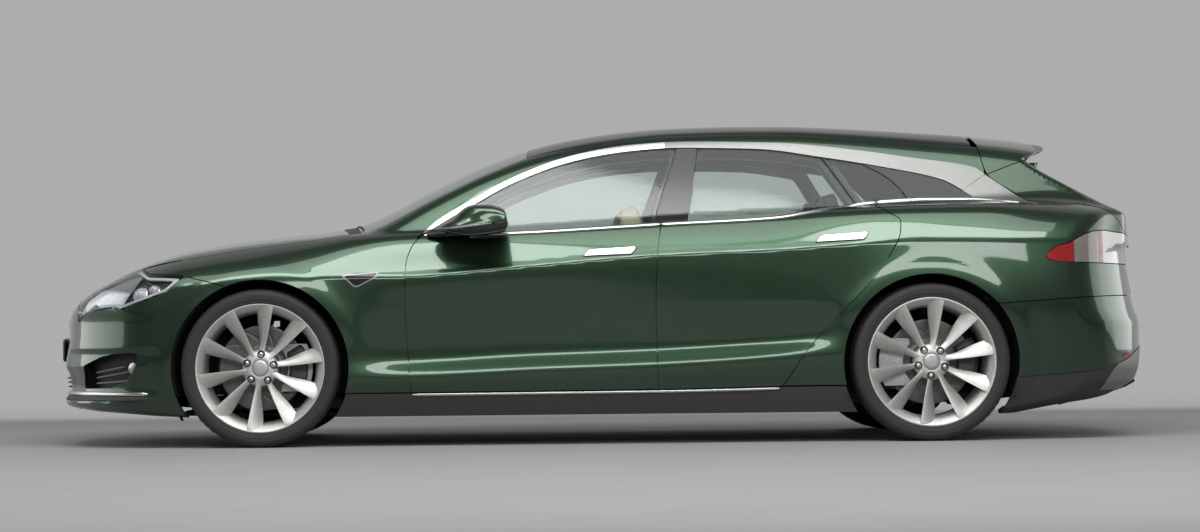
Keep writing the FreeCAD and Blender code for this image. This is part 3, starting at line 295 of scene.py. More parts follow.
def edge_distance(shape, uv):
    """Signed distance to a closed outline: to the nearest point of its nearest edge, negative inside by the
    crossing count."""
    a, b = shape, np.roll(shape, -1, 0)
    best, inside = np.full(len(uv), 1e9), np.zeros(len(uv), bool)
    for p, q in zip(a, b):
        e, w = q - p, uv - p
        t = np.clip(w @ e / max(e @ e, 1e-12), 0, 1)
        best = np.minimum(best, np.hypot(*(w - t[:, None] * e).T))
        crosses = (p[1] > uv[:, 1]) != (q[1] > uv[:, 1])
        if q[1] != p[1]:
            inside ^= crosses & (uv[:, 0] < e[0] * (uv[:, 1] - p[1]) / e[1] + p[0])
    return np.where(inside, -best, best)


def outward(p):
    """Unit normals of the body: the gradient of its field, by central differences of half a millimetre."""
    e = np.eye(3) * 5e-4
    g = np.stack([body_field(p + a) - body_field(p - a) for a in e], 1)
    return g / np.linalg.norm(g, axis=1, keepdims=True)


def skin(rays):
    """The body's skin over a grid of rays: a sheet of points and triangles that face along the rays."""
    origins, directions = rays
    points = cast(origins.reshape(-1, 3), directions.reshape(-1, 3))
    faces = grid_faces(*origins.shape[:2])
    a, b, c = points[faces.T]
    if (np.cross(b - a, c - a) * directions.reshape(-1, 3)[faces[:, 0]]).sum() < 0:
        faces = faces[:, ::-1]
    return points, faces


def rays_left(x, z):
    """Level rays to the left from the centre plane, over a grid of stations and heights."""
    grid = np.stack(np.broadcast_arrays(x[None, :], 0.0, z[:, None]), -1)
    return grid, np.broadcast_to([0.0, -1.0, 0.0], grid.shape)


def rays_up(x, y):
    """Upright rays over a grid of stations and half widths."""
    grid = np.stack(np.broadcast_arrays(x[None, :], y[:, None], .3), -1)
    return grid, np.broadcast_to([0.0, 0.0, 1.0], grid.shape)


def rays_fan(path, lift, core):
    """Rays fanned up and down from a level path: each station is (x, y, heading in degrees), each ray is
    lifted by an angle, so its direction is (cos heading cos lift, sin heading cos lift, sin lift)."""
    x, y, heading = np.array(path, float).T
    h, t = np.radians(heading)[None, :], np.radians(lift)[:, None]
    grid = np.stack(np.broadcast_arrays(x[None, :], y[None, :], core + 0 * t), -1)
    return grid, np.stack(np.broadcast_arrays(np.cos(h) * np.cos(t), np.sin(h) * np.cos(t), np.sin(t)), -1)


def stations(x, y, heading):
    """Part of a level path for a fan of rays: place, side and heading in degrees, any of them an array."""
    return list(zip(*map(np.ravel, np.broadcast_arrays(x, y, heading))))


def trim(sheet, *limits):
    """Cuts a sheet by one limit after another; a limit gives each point's signed distance past a cut
    line."""
    for limit in limits:
        sheet = clip(*sheet, limit(sheet[0]))
    return sheet


GAP = .0042  # shut line between two painted panels


def past(line, a, b, slack=GAP / 2):
    """How far coordinate a is past a cut line given as a curve over b, square to the line, plus half a shut
    line."""
    slope = (along(line, b + .002) - along(line, b - .002)) / .004
    return (a - along(line, b)) / np.hypot(1, slope) + slack


def level_gap(p):
    """Half a shut line where a cut is drawn by station: shortened by the sine of the angle between normal
    and x."""
    return GAP / 2 * np.sqrt(np.clip(1 - outward(p)[:, 0] ** 2, .02, 1))


def short_of(line, a, b, slack=GAP / 2):
    """How far coordinate a falls short of a cut line, plus half a shut line."""
    return -past(line, a, b, 0) + slack


def under(line, slack=GAP / 2):
    """A limit that keeps what lies below a line drawn as height over station."""
    return lambda p: past(line, p[:, 2], p[:, 0], slack)


def over(line, slack=GAP / 2):
    """A limit that keeps what lies above a line drawn as height over station."""
    return lambda p: short_of(line, p[:, 2], p[:, 0], slack)


def ahead(line, slack=GAP / 2):
    """A limit that keeps what lies in front of a line drawn as station over height."""
    return lambda p: past(line, p[:, 0], p[:, 2], slack)


def behind(line, slack=GAP / 2):
    """A limit that keeps what lies behind a line drawn as station over height."""
    return lambda p: short_of(line, p[:, 0], p[:, 2], slack)


def inside(shape, slack=0.0, view=(0, 2)):
    """A limit that keeps what lies inside a closed outline, drawn in side view unless told otherwise."""
    return lambda p: edge_distance(shape, p[:, view]) + slack


def outside(shape, slack=0.0, view=(0, 2)):
    """A limit that keeps what lies outside a closed outline."""
    return lambda p: slack - edge_distance(shape, p[:, view])


def mirrored(sheet):
    """The sheet's mirror image: y changes sign, and the triangles turn round to face outwards again."""
    points, faces = sheet
    return points * [1, -1, 1], faces[:, ::-1]


def add(name, mesh, material, body, replaces=()):
    """A finished mesh becomes a piece that rides on a body and stands for CAD nodes."""
    piece = bpy.data.objects.new(name, mesh)
    bpy.context.collection.objects.link(piece)
    mesh.materials.append(material)
    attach(piece, body)
    if replaces:
        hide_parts(*replaces)
    return piece


def panel(name, sheet, wall, material, body, replaces=(), lift=0.0):
    """A sheet with its wall: the outer face stands out by lift, the inner one a wall further in, both along
    the body's normals, and a rim of two triangles closes each open edge. The shading normals are the body's
    own."""
    points, faces = sheet
    n = outward(points)
    points = points + n * lift
    edges = faces[:, [0, 1, 1, 2, 2, 0]].reshape(-1, 2)
    _, where, count = np.unique(np.sort(edges, 1), axis=0, return_index=True, return_counts=True)
    a, b = edges[where[count == 1]].T
    k = len(points)
    rim = np.concatenate([np.stack([b, a, a + k], 1), np.stack([b, a + k, b + k], 1)])
    every = np.concatenate([points, points - n * wall])
    all_faces = np.concatenate([faces, faces[:, ::-1] + k, rim])
    p, q, r = every[rim.T]
    flat = np.cross(q - p, r - p)
    flat /= np.maximum(np.linalg.norm(flat, axis=1, keepdims=True), 1e-12)
    normals = np.concatenate([n[faces.ravel()], -n[faces[:, ::-1].ravel()], np.repeat(flat, 3, 0)])
    mesh = bpy.data.meshes.new(name)
    mesh.from_pydata(every, [], all_faces)
    mesh.shade_smooth()
    mesh.normals_split_custom_set(normals)
    add(name, mesh, material, body, replaces)


def both(name, sheet, wall, material, body, replaces=(), lift=0.0):
    """A panel on the left of the car and its mirror image on the right. SIDE in a name stands for left or
    right; a node without it is stood for by the left panel alone."""
    for side, turned in {"left": sheet, "right": mirrored(sheet)}.items():
        nodes = [node.replace("SIDE", side) for node in replaces if "SIDE" in node or side == "left"]
        panel(name.replace("SIDE", side), turned, wall, material, body.replace("SIDE", side), nodes, lift)


# ---------------------------------------------------------------------------- finishes
# Paint, bare metal, glass and moulded plastic each vary a little over the surface: flake or grain in the
# colour, small changes of gloss, and a fine relief.
def finish(name, colour, roughness, metallic=0.0, coat=0.0, cells=(40.0, .15), relief=(0.0, 0.0), gloss=.12,
           alpha=1.0, sheen=0.0, specular=.5):
    """Colour between two shades by a noise of so many cells a metre, roughness spread by a slower one, and
    a bump of a given depth from a third."""
    material = bpy.data.materials.new(name)
    material.use_nodes = True
    nodes, links = material.node_tree.nodes, material.node_tree.links
    shader = nodes["Principled BSDF"]
    place = nodes.new("ShaderNodeTexCoord").outputs["Object"]

    def noise(scale, detail):
        """A noise of so many cells a metre and so many finer octaves."""
        node = nodes.new("ShaderNodeTexNoise")
        node.inputs["Scale"].default_value = scale
        node.inputs["Detail"].default_value = detail
        links.new(place, node.inputs["Vector"])
        return node.outputs["Fac"]

    ramp = nodes.new("ShaderNodeValToRGB")
    dark, pale = ramp.color_ramp.elements
    dark.position, pale.position = .3, .7
    dark.color = [c * (1 - cells[1]) for c in colour] + [1]
    pale.color = [min(1, c * (1 + cells[1])) for c in colour] + [1]
    links.new(noise(cells[0], 3), ramp.inputs["Fac"])
    links.new(ramp.outputs["Color"], shader.inputs["Base Color"])
    spread = nodes.new("ShaderNodeMapRange")
    spread.inputs["To Min"].default_value = roughness * (1 - gloss)
    spread.inputs["To Max"].default_value = roughness * (1 + gloss)
    links.new(noise(7.0, 2), spread.inputs["Value"])
    links.new(spread.outputs["Result"], shader.inputs["Roughness"])
    if relief[1]:
        bump = nodes.new("ShaderNodeBump")
        bump.inputs["Distance"].default_value = relief[1]
        links.new(noise(relief[0], 4), bump.inputs["Height"])
        links.new(bump.outputs["Normal"], shader.inputs["Normal"])
    shader.inputs["Metallic"].default_value = metallic
    shader.inputs["Coat Weight"].default_value = coat
    shader.inputs["Coat Roughness"].default_value = .04
    shader.inputs["Alpha"].default_value = alpha
    shader.inputs["Sheen Weight"].default_value = sheen
    shader.inputs["Specular IOR Level"].default_value = specular
    return material


paint = finish("green_flake_paint", (.028, .061, .034), .29, metallic=.92, coat=1.0, cells=(900.0, .35),
               gloss=.06)
chrome = finish("bright_trim", (.56, .56, .55), .28, metallic=1.0, cells=(30.0, .03), relief=(250.0, .0002))
satin = finish("satin_silver_trim", (.24, .245, .235), .4, metallic=.85, cells=(60.0, .04),
               relief=(600.0, .0002))
black_gloss = finish("gloss_black_trim", (.015, .0145, .017), .14, cells=(500.0, .1), gloss=.2)
dark_plastic = finish("grained_dark_plastic", (.026, .025, .0245), .6, cells=(300.0, .15),
                      relief=(900.0, .0006))
rubber = finish("seal_rubber", (.014, .014, .014), .75, cells=(200.0, .2), relief=(500.0, .0004))


def clear_sheet(name, tint, film):
    """A clear wall: light goes straight through and takes the tint. A share of it is mirrored, which rises
    from the film's share face on to all of it at a glancing angle: film plus (1 - film) times (1 - cosine)
    to the fifth power."""
    material = finish(name, (.93, .94, .94), .09, metallic=1.0, cells=(3.0, .03))
    nodes, links = material.node_tree.nodes, material.node_tree.links
    kinds = ("BsdfTransparent", "MixShader", "LayerWeight", "Math", "Math")
    through, mix, facing, power, share = (nodes.new("ShaderNode" + kind) for kind in kinds)
    power.operation, share.operation = "POWER", "MULTIPLY_ADD"
    facing.inputs["Blend"].default_value = .5
    power.inputs[1].default_value = 5
    share.inputs[1].default_value, share.inputs[2].default_value = 1 - film, film
    through.inputs["Color"].default_value = (*tint, 1)
    links.new(facing.outputs["Facing"], power.inputs[0])
    links.new(power.outputs[0], share.inputs[0])
    links.new(share.outputs[0], mix.inputs["Fac"])
    links.new(through.outputs[0], mix.inputs[1])
    links.new(nodes["Principled BSDF"].outputs[0], mix.inputs[2])
    links.new(mix.outputs[0], nodes["Material Output"].inputs["Surface"])
    return material


glass = clear_sheet("tinted_glass", (.86, .905, .88), .028)
roof_tint = finish("dark_roof_glass", (.012, .014, .014), .08, cells=(3.0, .06), alpha=.93, specular=.12)

# ---------------------------------------------------------------------------- shut lines
# Panels meet along shut lines. Each line is a smooth curve through a few places: station over height for
# upright cuts, height over station for level ones.
FRONT_CUT = [(.1, -.852), (.236, -.858), (.438, -.872), (.6, -.881), (.7, -.882), (.797, -.877),
             (.875, -.853), (.933, -.804), (1.0, -.73)]
MIDDLE_CUT = [(.1, .232), (.239, .23), (.385, .228), (.61, .223), (.835, .233), (.975, .253), (1.05, .262)]
REAR_CUT = [(.1, .66), (.236, .77), (.276, .8), (.414, .896), (.571, 1.044), (.716, 1.18), (.828, 1.26),
            (.918, 1.306), (.974, 1.312), (1.014, 1.262), (1.059, 1.189), (1.12, 1.1)]
SILL_CUT = [(-.9, .236), (.25, .24), (.9, .25)]
BELT = [(-.9, .928), (-.8, .931), (-.472, .936), (.256, .971), (.769, .996), (.94, 1.024), (1.224, 1.063),
        (1.44, 1.075), (1.633, 1.077), (1.877, 1.05), (2.0, 1.03)]
GLASS_TOP = [(-.86, .9), (-.79, .938), (-.738, .972), (-.551, 1.081), (-.437, 1.145), (-.322, 1.196),
             (-.208, 1.238), (-.093, 1.269), (.021, 1.291), (.136, 1.306), (.339, 1.319), (.699, 1.311),
             (.998, 1.27), (1.274, 1.223), (1.527, 1.166), (1.664, 1.087)]
TRIM_TOP = [(-.9, .88), (-.803, .94), (-.746, .99), (-.551, 1.107), (-.437, 1.17), (-.322, 1.222),
            (-.208, 1.264), (-.093, 1.296), (.021, 1.319), (.136, 1.334), (.376, 1.347), (.786, 1.339),
            (.929, 1.329), (1.159, 1.302), (1.389, 1.268), (1.677, 1.223), (1.729, 1.188), (1.912, 1.058)]
TAILGATE_CUT = [(.6, 2.44), (.68, 2.412), (.78, 2.39), (.9, 2.362), (.97, 2.33), (1.02, 2.27), (1.052, 2.13),
                (1.06, 1.93), (1.1, 1.864), (1.2, 1.735), (1.3, 1.712), (1.395, 1.7), (1.5, 1.69)]


def beyond_arch(p, axle, radius=ARCH_R):
    """How far a point falls inside a wheel arch: radius less its distance from the axle in side view."""
    return radius - np.hypot(p[:, 0] - axle, p[:, 2] - AXLE_Z)


# ---------------------------------------------------------------------------- doors
# Each door is an outer skin folded over a pressed inner frame, hung at its front edge. The skin runs from
# the sill cut to the belt line; the window above it has no frame.
DOOR_SKIN = .022
STEP = np.array([.021, .0105])  # mesh spacing along the car and up it


def door_skin(x0, x1, front, rear, inset=0.0):
    """The body's skin between two upright cuts, the sill cut and the belt line, set in from all four."""
    step = STEP * 1.6 if inset else STEP
    x, z = np.arange(x0, x1, step[0]), np.arange(.215, 1.11, step[1])
    slack = GAP / 2 + inset
    return trim(skin(rays_left(x, z)), behind(front, slack), ahead(rear, slack), over(SILL_CUT, slack),
                under(BELT, inset / 4))


DOORS = {"front_door_SIDE": (-.91, .3, FRONT_CUT, MIDDLE_CUT),
         "rear_door_SIDE": (.2, 1.35, MIDDLE_CUT, REAR_CUT)}
for door, cuts in DOORS.items():
    both(door + "_skin", door_skin(*cuts), DOOR_SKIN, paint, door, (door,))

# ---------------------------------------------------------------------------- bonnet
# The hood is one pressing from the cowl to the nose, hinged behind. Its edge follows the headlights and the
# wings.
HOOD_EDGE = [(-2.5, .0), (-2.375, .012), (-2.366, .15), (-2.34, .33), (-2.29, .48), (-2.23, .6),
             (-2.12, .695), (-1.98, .76), (-1.85, .788), (-1.72, .8), (-1.4, .797), (-1.12, .79),
             (-1.0, .785)]
HOOD_REAR = [(0, -1.186), (.4, -1.172), (.6, -1.15), (.76, -1.128), (.85, -1.11)]
HOOD_FRONT = [(0, -2.374), (.15, -2.366), (.33, -2.34), (.48, -2.29), (.6, -2.23), (.7, -2.11), (.8, -1.8)]


def off_hood(p, slack=GAP / 2):
    """How far a point lies outside the hood's edge in plan: past its side line, ahead of its front line or
    behind."""
    side = past(HOOD_EDGE, np.abs(p[:, 1]), p[:, 0], 0)
    front = short_of(HOOD_FRONT, p[:, 0], np.abs(p[:, 1]), 0)
    rear = past(HOOD_REAR, p[:, 0], np.abs(p[:, 1]), 0)
    return np.maximum(np.maximum(np.where(p[:, 0] < -1.95, -1, side), np.where(p[:, 0] < -1.7, front, -1)),
                      rear) + slack


hood = trim(skin(rays_up(np.arange(-2.4, -1.1, .018), np.linspace(-.81, .81, 85))), off_hood)
panel("hood_skin", hood, .026, paint, "hood", ("hood",))

# ---------------------------------------------------------------------------- front wings
# The wings are bolted on between the front bumper, the hood and the doors, with a rolled lip round the
# wheel arch.
WING_TOP = [(-1.2, 1.3), (-1.13, .99), (-1.0, .966), (-.87, .945), (-.7, .93)]
BUMPER_SEAM = [(-1.95, .8), (-1.853, .759), (-1.76, .735), (-1.672, .711), (-1.5, .66)]
wing_path = stations(np.arange(-2.05, -.82, .018), -.45, -90)
wing = trim(skin(rays_fan(wing_path, np.arange(-40, 84, 1.5), .5)),
            lambda p: past(FRONT_CUT, p[:, 0], np.minimum(p[:, 2], .93)),
            lambda p: beyond_arch(p, FRONT_AXLE), lambda p: -off_hood(p, -GAP / 2),
            lambda p: .236 + GAP / 2 - p[:, 2],
            lambda p: np.where(p[:, 0] < -1.5, short_of(BUMPER_SEAM, p[:, 2], p[:, 0]), -1),
            under(WING_TOP, 0),
            lambda p: -1.872 - p[:, 0], lambda p: np.where(p[:, 0] > -1.14, .777 - np.abs(p[:, 1]), -1))
both("wing_SIDE", wing, .024, paint, "body", ("front_fenders",))

# ---------------------------------------------------------------------------- front bumper
# The front bumper cover is one soft moulding wrapped round the nose, with side intakes and a thin lip
# below.
LAMP = outline([(-2.36, .56), (-2.287, .626), (-2.276, .611), (-2.174, .622), (-2.146, .609), (-2.021, .654),
                (-1.93, .688), (-1.853, .759), (-1.94, .766), (-2.014, .77), (-2.06, .8), (-2.36, .85)])
INTAKE = outline([(-2.33, .262), (-2.33, .366), (-2.24, .405), (-2.18, .418), (-2.066, .424), (-2.06, .385),
                  (-2.085, .335), (-2.13, .29), (-2.19, .266)])
GRILLE = outline([(-.4, .25), (-.36, .33), (.36, .33), (.4, .25)])
turn = np.linspace(0, 1, 46)
front_path = (stations(np.arange(-1.54, -2.0, -.02), -.45, -90) + stations(-2.0, -.45, -90 - 90 * turn)
              + stations(-2.0, np.linspace(-.43, .43, 48), -180) + stations(-2.0, .45, -180 - 90 * turn)
              + stations(np.arange(-2.0, -1.54, .02), .45, -270))
nose = trim(skin(rays_fan(front_path, np.arange(-46, 50, 1.6), .45)), lambda p: -off_hood(p, -GAP / 2),
            lambda p: beyond_arch(p, FRONT_AXLE), lambda p: .133 - p[:, 2],
            lambda p: past(BUMPER_SEAM, np.where(p[:, 0] > -1.856, p[:, 2], 0), p[:, 0]),
            lambda p: np.where(np.abs(p[:, 1]) > .3, GAP / 2 - edge_distance(LAMP, p[:, [0, 2]]), -1),
            lambda p: np.where(np.abs(p[:, 1]) > .3, -edge_distance(INTAKE, p[:, [0, 2]]), -1),
            lambda p: np.where(p[:, 0] < -2.3, -edge_distance(GRILLE, p[:, [1, 2]]), -1))
panel("front_bumper_cover", nose, .018, paint, "body", ("front_bumper",))

# ---------------------------------------------------------------------------- rear quarters
# The quarter panels are welded sheet metal: they carry the arch, close the car behind the rear doors and
# run up to the window line. Above it the roof rails reach from the windshield to the tail, between the
# bright trim and the glass.
REAR_SEAM = [(1.6, .6), (1.748, .606), (2.0, .622), (2.282, .636), (2.5, .64)]
tail_turn = np.linspace(0, 1, 40)
quarter_path = stations(np.arange(.74, 1.95, .018), -.45, -90) + stations(1.95, -.45, -90 + 84 * tail_turn)
TAIL_LAMP = outline([(1.95, .812), (1.966, .832), (2.003, .858), (2.058, .87), (2.1, .893), (2.14, .912),
                     (2.185, .925), (2.245, .929), (2.35, .917), (2.45, .902), (2.45, .78), (2.316, .779),
                     (2.076, .785), (1.991, .79), (1.96, .799)])
quarter_lift = np.concatenate([np.arange(-40, 60, 1.5), np.arange(60, 84, 1.2)])
quarter = trim(skin(rays_fan(quarter_path, quarter_lift, .55)),
               lambda p: np.where(p[:, 2] < 1.1, short_of(REAR_CUT, p[:, 0], p[:, 2]), -1),
               lambda p: beyond_arch(p, REAR_AXLE), lambda p: .25 + GAP / 2 - p[:, 2],
               lambda p: np.where(p[:, 0] < 1.91, past(BELT, p[:, 2], p[:, 0], 0), p[:, 2] - 1.064),
               lambda p: past(TAILGATE_CUT, p[:, 0], p[:, 2], level_gap(p)),
               lambda p: np.where(p[:, 0] > 1.6, short_of(REAR_SEAM, p[:, 2], p[:, 0]), -1),
               outside(TAIL_LAMP, GAP / 2))
both("quarter_SIDE", quarter, .04, paint, "body", ("body_side_SIDE",))

SCREEN_EDGE = [(-1.3, .8), (-1.074, .77), (-.678, .716), (-.437, .672), (-.338, .645)]
ROOF_EDGE = [(-.338, .64), (-.197, .64), (.284, .598), (.645, .588), (1.475, .566), (1.696, .552)]
GLASS_EDGE = SCREEN_EDGE[:-1] + ROOF_EDGE
rail_path = stations(np.arange(-1.16, 1.75, .026), -.3, -90)
rail = trim(skin(rays_fan(rail_path, np.arange(0, 74, 1.3), .86)),
            lambda p: -past(GLASS_EDGE, -p[:, 1], p[:, 0], -.002),
            lambda p: np.where(p[:, 0] > -.86, over(TRIM_TOP, 0)(p), over(WING_TOP, 0)(p)),
            ahead(TAILGATE_CUT), lambda p: -1.135 - p[:, 0])
both("roof_rail_SIDE", rail, .03, paint, "body")

# ---------------------------------------------------------------------------- glass
# The side windows are frameless panes of tempered glass; the windshield and the roof are bonded in, the
# roof dark.
SHUT_B1 = [(.9, .205), (.986, .225), (1.315, .335), (1.4, .36)]
SHUT_B2 = [(.9, .345), (.987, .375), (1.317, .431), (1.4, .445)]
QUARTER_BAR = [(.95, 1.2), (1.051, 1.132), (1.263, .993), (1.4, .9)]
QUARTER_END = [(1.0, 1.4), (1.09, 1.36), (1.17, 1.29), (1.24, 1.17), (1.3, 1.0)]
PANE = .004
QUARTER_BAR_BACK = [(z, x + .014) for z, x in QUARTER_BAR]
for name, (x0, x1), foot, cuts, body, node in (
        ("front_door", (-.78, .36), -.028, [ahead(SHUT_B1, .002)], "front_door_SIDE",
         "front_door_glass_SIDE"),
        ("rear_door", (.32, 1.26), -.028, [behind(SHUT_B2, .002), ahead(QUARTER_BAR, .002)], "rear_door_SIDE",
         "rear_door_glass_SIDE"),
        ("quarter", (.98, 1.42), 0, [behind(QUARTER_BAR_BACK, .002), ahead(QUARTER_END, .002)], "body",
         "quarter_windows")):
    pane = trim(skin(rays_left(np.arange(x0, x1, .022), np.arange(.89, 1.35, .011))), under(GLASS_TOP, .002),
                over(BELT, foot), *cuts)
    both(name + "_pane_SIDE", pane, PANE, glass, body, (node,), lift=-.002)

SCREEN_FOOT = [(0, -1.118), (.43, -1.106), (.6, -1.094), (.77, -1.074), (.85, -1.06)]
screen = trim(skin(rays_up(np.arange(-1.17, -.3, .024), np.linspace(-.8, .8, 61))),
              lambda p: past(GLASS_EDGE, np.abs(p[:, 1]), p[:, 0], .004),
              lambda p: short_of(SCREEN_FOOT, p[:, 0], np.abs(p[:, 1]), 0),
              lambda p: p[:, 0] + .338 + .003)
panel("windshield_pane", screen, .005, glass, "body", ("windshield",), lift=-.001)
roof = trim(skin(rays_up(np.arange(-.36, 1.72, .04), np.linspace(-.66, .66, 51))),
            lambda p: past(GLASS_EDGE, np.abs(p[:, 1]), p[:, 0], .001),
            lambda p: -.338 + .003 - p[:, 0], lambda p: p[:, 0] - 1.696 + GAP / 2)
panel("roof_pane", roof, .006, roof_tint, "body", ("roof_panel",))

# ---------------------------------------------------------------------------- tailgate
# The tailgate is one large lid hinged at the roof: spoiler on top, sloping window, and the painted panel
# round the tail lamps down to the bumper.


def round_the_back(start, end):
    """A level path for rays: back along the left, a quarter turn, across the car and the same mirrored."""
    left = stations(np.arange(start, end, .02), -.3, -90)
    left += stations(end, -.3, -90 + 90 * np.linspace(0, 1, 44))
    return left + stations(end, np.linspace(-.28, .28, 26), 0) + [(x, -y, -h) for x, y, h in left[::-1]]


gate_path = round_the_back(1.6, 1.75)
WINDOW_HALF = [(1.03, .565), (1.062, .555), (1.236, .43), (1.3, .4)]
SPOILER_SEAM = [(1.6, 1.15), (1.729, 1.188), (1.98, 1.262), (2.2, 1.262)]
GATE_LAMP = outline([(.95, .78), (.95, .925), (.6, .912), (.42, .893), (.36, .872), (.345, .855), (.4, .815),
                     (.52, .79), (.7, .782)])


def in_window(p, slack=0.0):
    """Distance into the rear window's opening, seen from behind."""
    return np.maximum(np.maximum(past(WINDOW_HALF, np.abs(p[:, 1]), p[:, 2], 0), p[:, 2] - 1.243),
                      1.056 - p[:, 2]) + slack


def in_gate_lamp(p):
    """Distance into the outline of the tailgate's lamps, seen from behind."""
    return edge_distance(GATE_LAMP, np.stack([np.abs(p[:, 1]), p[:, 2]], 1))


def below_roof(p):
    """A limit that keeps what lies behind the tailgate's cut."""
    return short_of(TAILGATE_CUT, p[:, 0], p[:, 2], level_gap(p))


def under_tip(p):
    """A limit that keeps the lip below the spoiler's edge."""
    return np.maximum(1.992 - p[:, 0], p[:, 2] - 1.338)


gate_sheet = trim(skin(rays_fan(gate_path, np.arange(-2, 76, .9), .64)), below_roof,
                  under(SPOILER_SEAM), over(REAR_SEAM),
                  lambda p: np.where(p[:, 0] > 1.94, p[:, 2] - 1.254, -1))
gate = trim(gate_sheet, lambda p: -in_window(p, .001),
            lambda p: np.where(p[:, 0] > 2.3, .002 - in_gate_lamp(p), -1))
panel("tailgate_skin", gate, .028, paint, "tailgate", ("tailgate",))
back_rays = rays_fan(stations(1.75, np.linspace(-.6, .6, 56), 0), np.arange(22, 76, .9), .72)
back_pane = trim(skin(back_rays), lambda p: in_window(p, .003))
panel("rear_window_pane", back_pane, PANE, glass, "tailgate", ("rear_window",), lift=-.001)
spoiler_lift = np.concatenate([np.arange(-6, 30, 1.0), np.arange(30, 91, 2.0)])
spoiler = trim(skin(rays_fan(round_the_back(1.62, 1.72), spoiler_lift, 1.2)), below_roof, over(SPOILER_SEAM))
panel("spoiler_skin", trim(spoiler, lambda p: -under_tip(p)), .01, paint, "tailgate")
panel("spoiler_lip", trim(spoiler, under_tip), .01, satin, "tailgate", lift=.0005)

# ---------------------------------------------------------------------------- rear bumper
# The rear bumper cover is a moulding with a sharp crease below the tailgate and a dark lower part.
rear_path = (stations(np.arange(1.66, 1.95, .02), -.45, -90) + stations(1.95, -.45, -90 + 90 * tail_turn)
             + stations(1.95, np.linspace(-.43, .43, 44), 0) + stations(1.95, .45, 90 * tail_turn)
             + stations(np.arange(1.95, 1.66, -.02), .45, 90))
COVER_FOOT = [(1.6, .112), (1.96, .112), (2.137, .146), (2.5, .2)]
rear_cover = trim(skin(rays_fan(rear_path, np.arange(-48, 26, 1.3), .45)), lambda p: beyond_arch(p, REAR_AXLE),
                  under(REAR_SEAM), lambda p: p[:, 2] - .6375,
                  lambda p: along(COVER_FOOT, p[:, 0]) - p[:, 2])
DARK_EDGE = [(1.6, .278), (1.864, .282), (1.929, .287), (2.157, .303), (2.329, .347), (2.42, .395),
             (2.5, .43)]
painted = trim(rear_cover, over(DARK_EDGE, .001))
panel("rear_bumper_cover", painted, .018, paint, "body", ("rear_bumper",))
lower_cover = trim(rear_cover, under(DARK_EDGE, .001))
panel("rear_bumper_lower", lower_cover, .018, dark_plastic, "body", lift=-.004)

# ---------------------------------------------------------------------------- sills
# Under the doors runs a folded sill with a dark plastic cover, and a thin bright strip on its upper edge.
def loops(name, rings, material, body, replaces=(), closed=True, caps=True, angle=40):
    """One or more surfaces from rings of points, one after another: quads between neighbouring rings, each
    ring closed on itself, and a fan over the first and the last ring."""
    points, faces, shift = [], [], 0
    for part in rings if isinstance(rings, list) else [rings]:
        rows, columns = part.shape[:2]
        i, j = np.meshgrid(np.arange(rows - 1), np.arange(columns if closed else columns - 1), indexing="ij")
        k = (j + 1) % columns
        quads = np.stack([i * columns + j, i * columns + k, (i + 1) * columns + k, (i + 1) * columns + j], -1)
        faces += (quads.reshape(-1, 4) + shift).tolist()
        points.append(part.reshape(-1, 3))
        if caps and closed:
            around = np.arange(columns) + shift
            last = around + (rows - 1) * columns
            hub = rows * columns + shift
            faces += np.stack([np.roll(around, -1), around, np.full(columns, hub)], 1).tolist()
            faces += np.stack([last, np.roll(last, -1), np.full(columns, hub + 1)], 1).tolist()
            points.append(np.stack([part[0].mean(0), part[-1].mean(0)]))
        shift = sum(map(len, points))
    mesh = bpy.data.meshes.new(name)
    mesh.from_pydata(np.concatenate(points), [], faces)
    shape = bmesh.new()
    shape.from_mesh(mesh)
    bmesh.ops.remove_doubles(shape, verts=shape.verts, dist=1e-6)
    bmesh.ops.recalc_face_normals(shape, faces=shape.faces)
    shape.to_mesh(mesh)
    shape.free()
    mesh.shade_smooth()
    mesh.set_sharp_from_angle(angle=np.radians(angle))
    return add(name, mesh, material, body, replaces)


SIDES = {"left": np.array([1, 1, 1]), "right": np.array([1, -1, 1])}
CENTRE = {"": SIDES["left"]}  # for a piece that runs across the car, made once


def pair(name, rings, material, body, replaces=(), **how):
    """Rings on the left of the car and their mirror image on the right. SIDE in a name stands for left or
    right."""
    for side, flip in SIDES.items():
        turned = [part * flip for part in rings] if isinstance(rings, list) else rings * flip
        loops(name.replace("SIDE", side), turned, material, body.replace("SIDE", side),
              [node.replace("SIDE", side) for node in replaces], **how)


x = np.linspace(-1.2, 1.12, 60)
height = np.array([.228, .2, .17, .145, .132])
outer = np.stack([-side_y(x, np.full_like(x, z)) for z in height], 1)
outer_z = np.broadcast_to(height, outer.shape).copy()
outer_z[:, 0] = along(SILL_CUT, x) - .004
inner = np.array([(-.7, .132), (-.7, .262), (-.86, .262), (-.895, .236)])
ring = np.stack([np.broadcast_to(x[:, None], (60, 9)),
                 np.concatenate([outer, np.broadcast_to(inner[:, 0], (60, 4))], 1),
                 np.concatenate([outer_z, np.broadcast_to(inner[:, 1], (60, 4))], 1)], -1)
ring[0, :, 0] = FRONT_AXLE + np.sqrt(ARCH_R ** 2 - (ring[0, :, 2] - AXLE_Z) ** 2) + .004
ring[-1, :, 0] = REAR_AXLE - np.sqrt(ARCH_R ** 2 - (ring[-1, :, 2] - AXLE_Z) ** 2) - .004
ring[1:-1, :, 0] = np.clip(ring[1:-1, :, 0], ring[0, :, 0] + .01, ring[-1, :, 0] - .01)
pair("sill_cover_SIDE", ring, dark_plastic, "body")


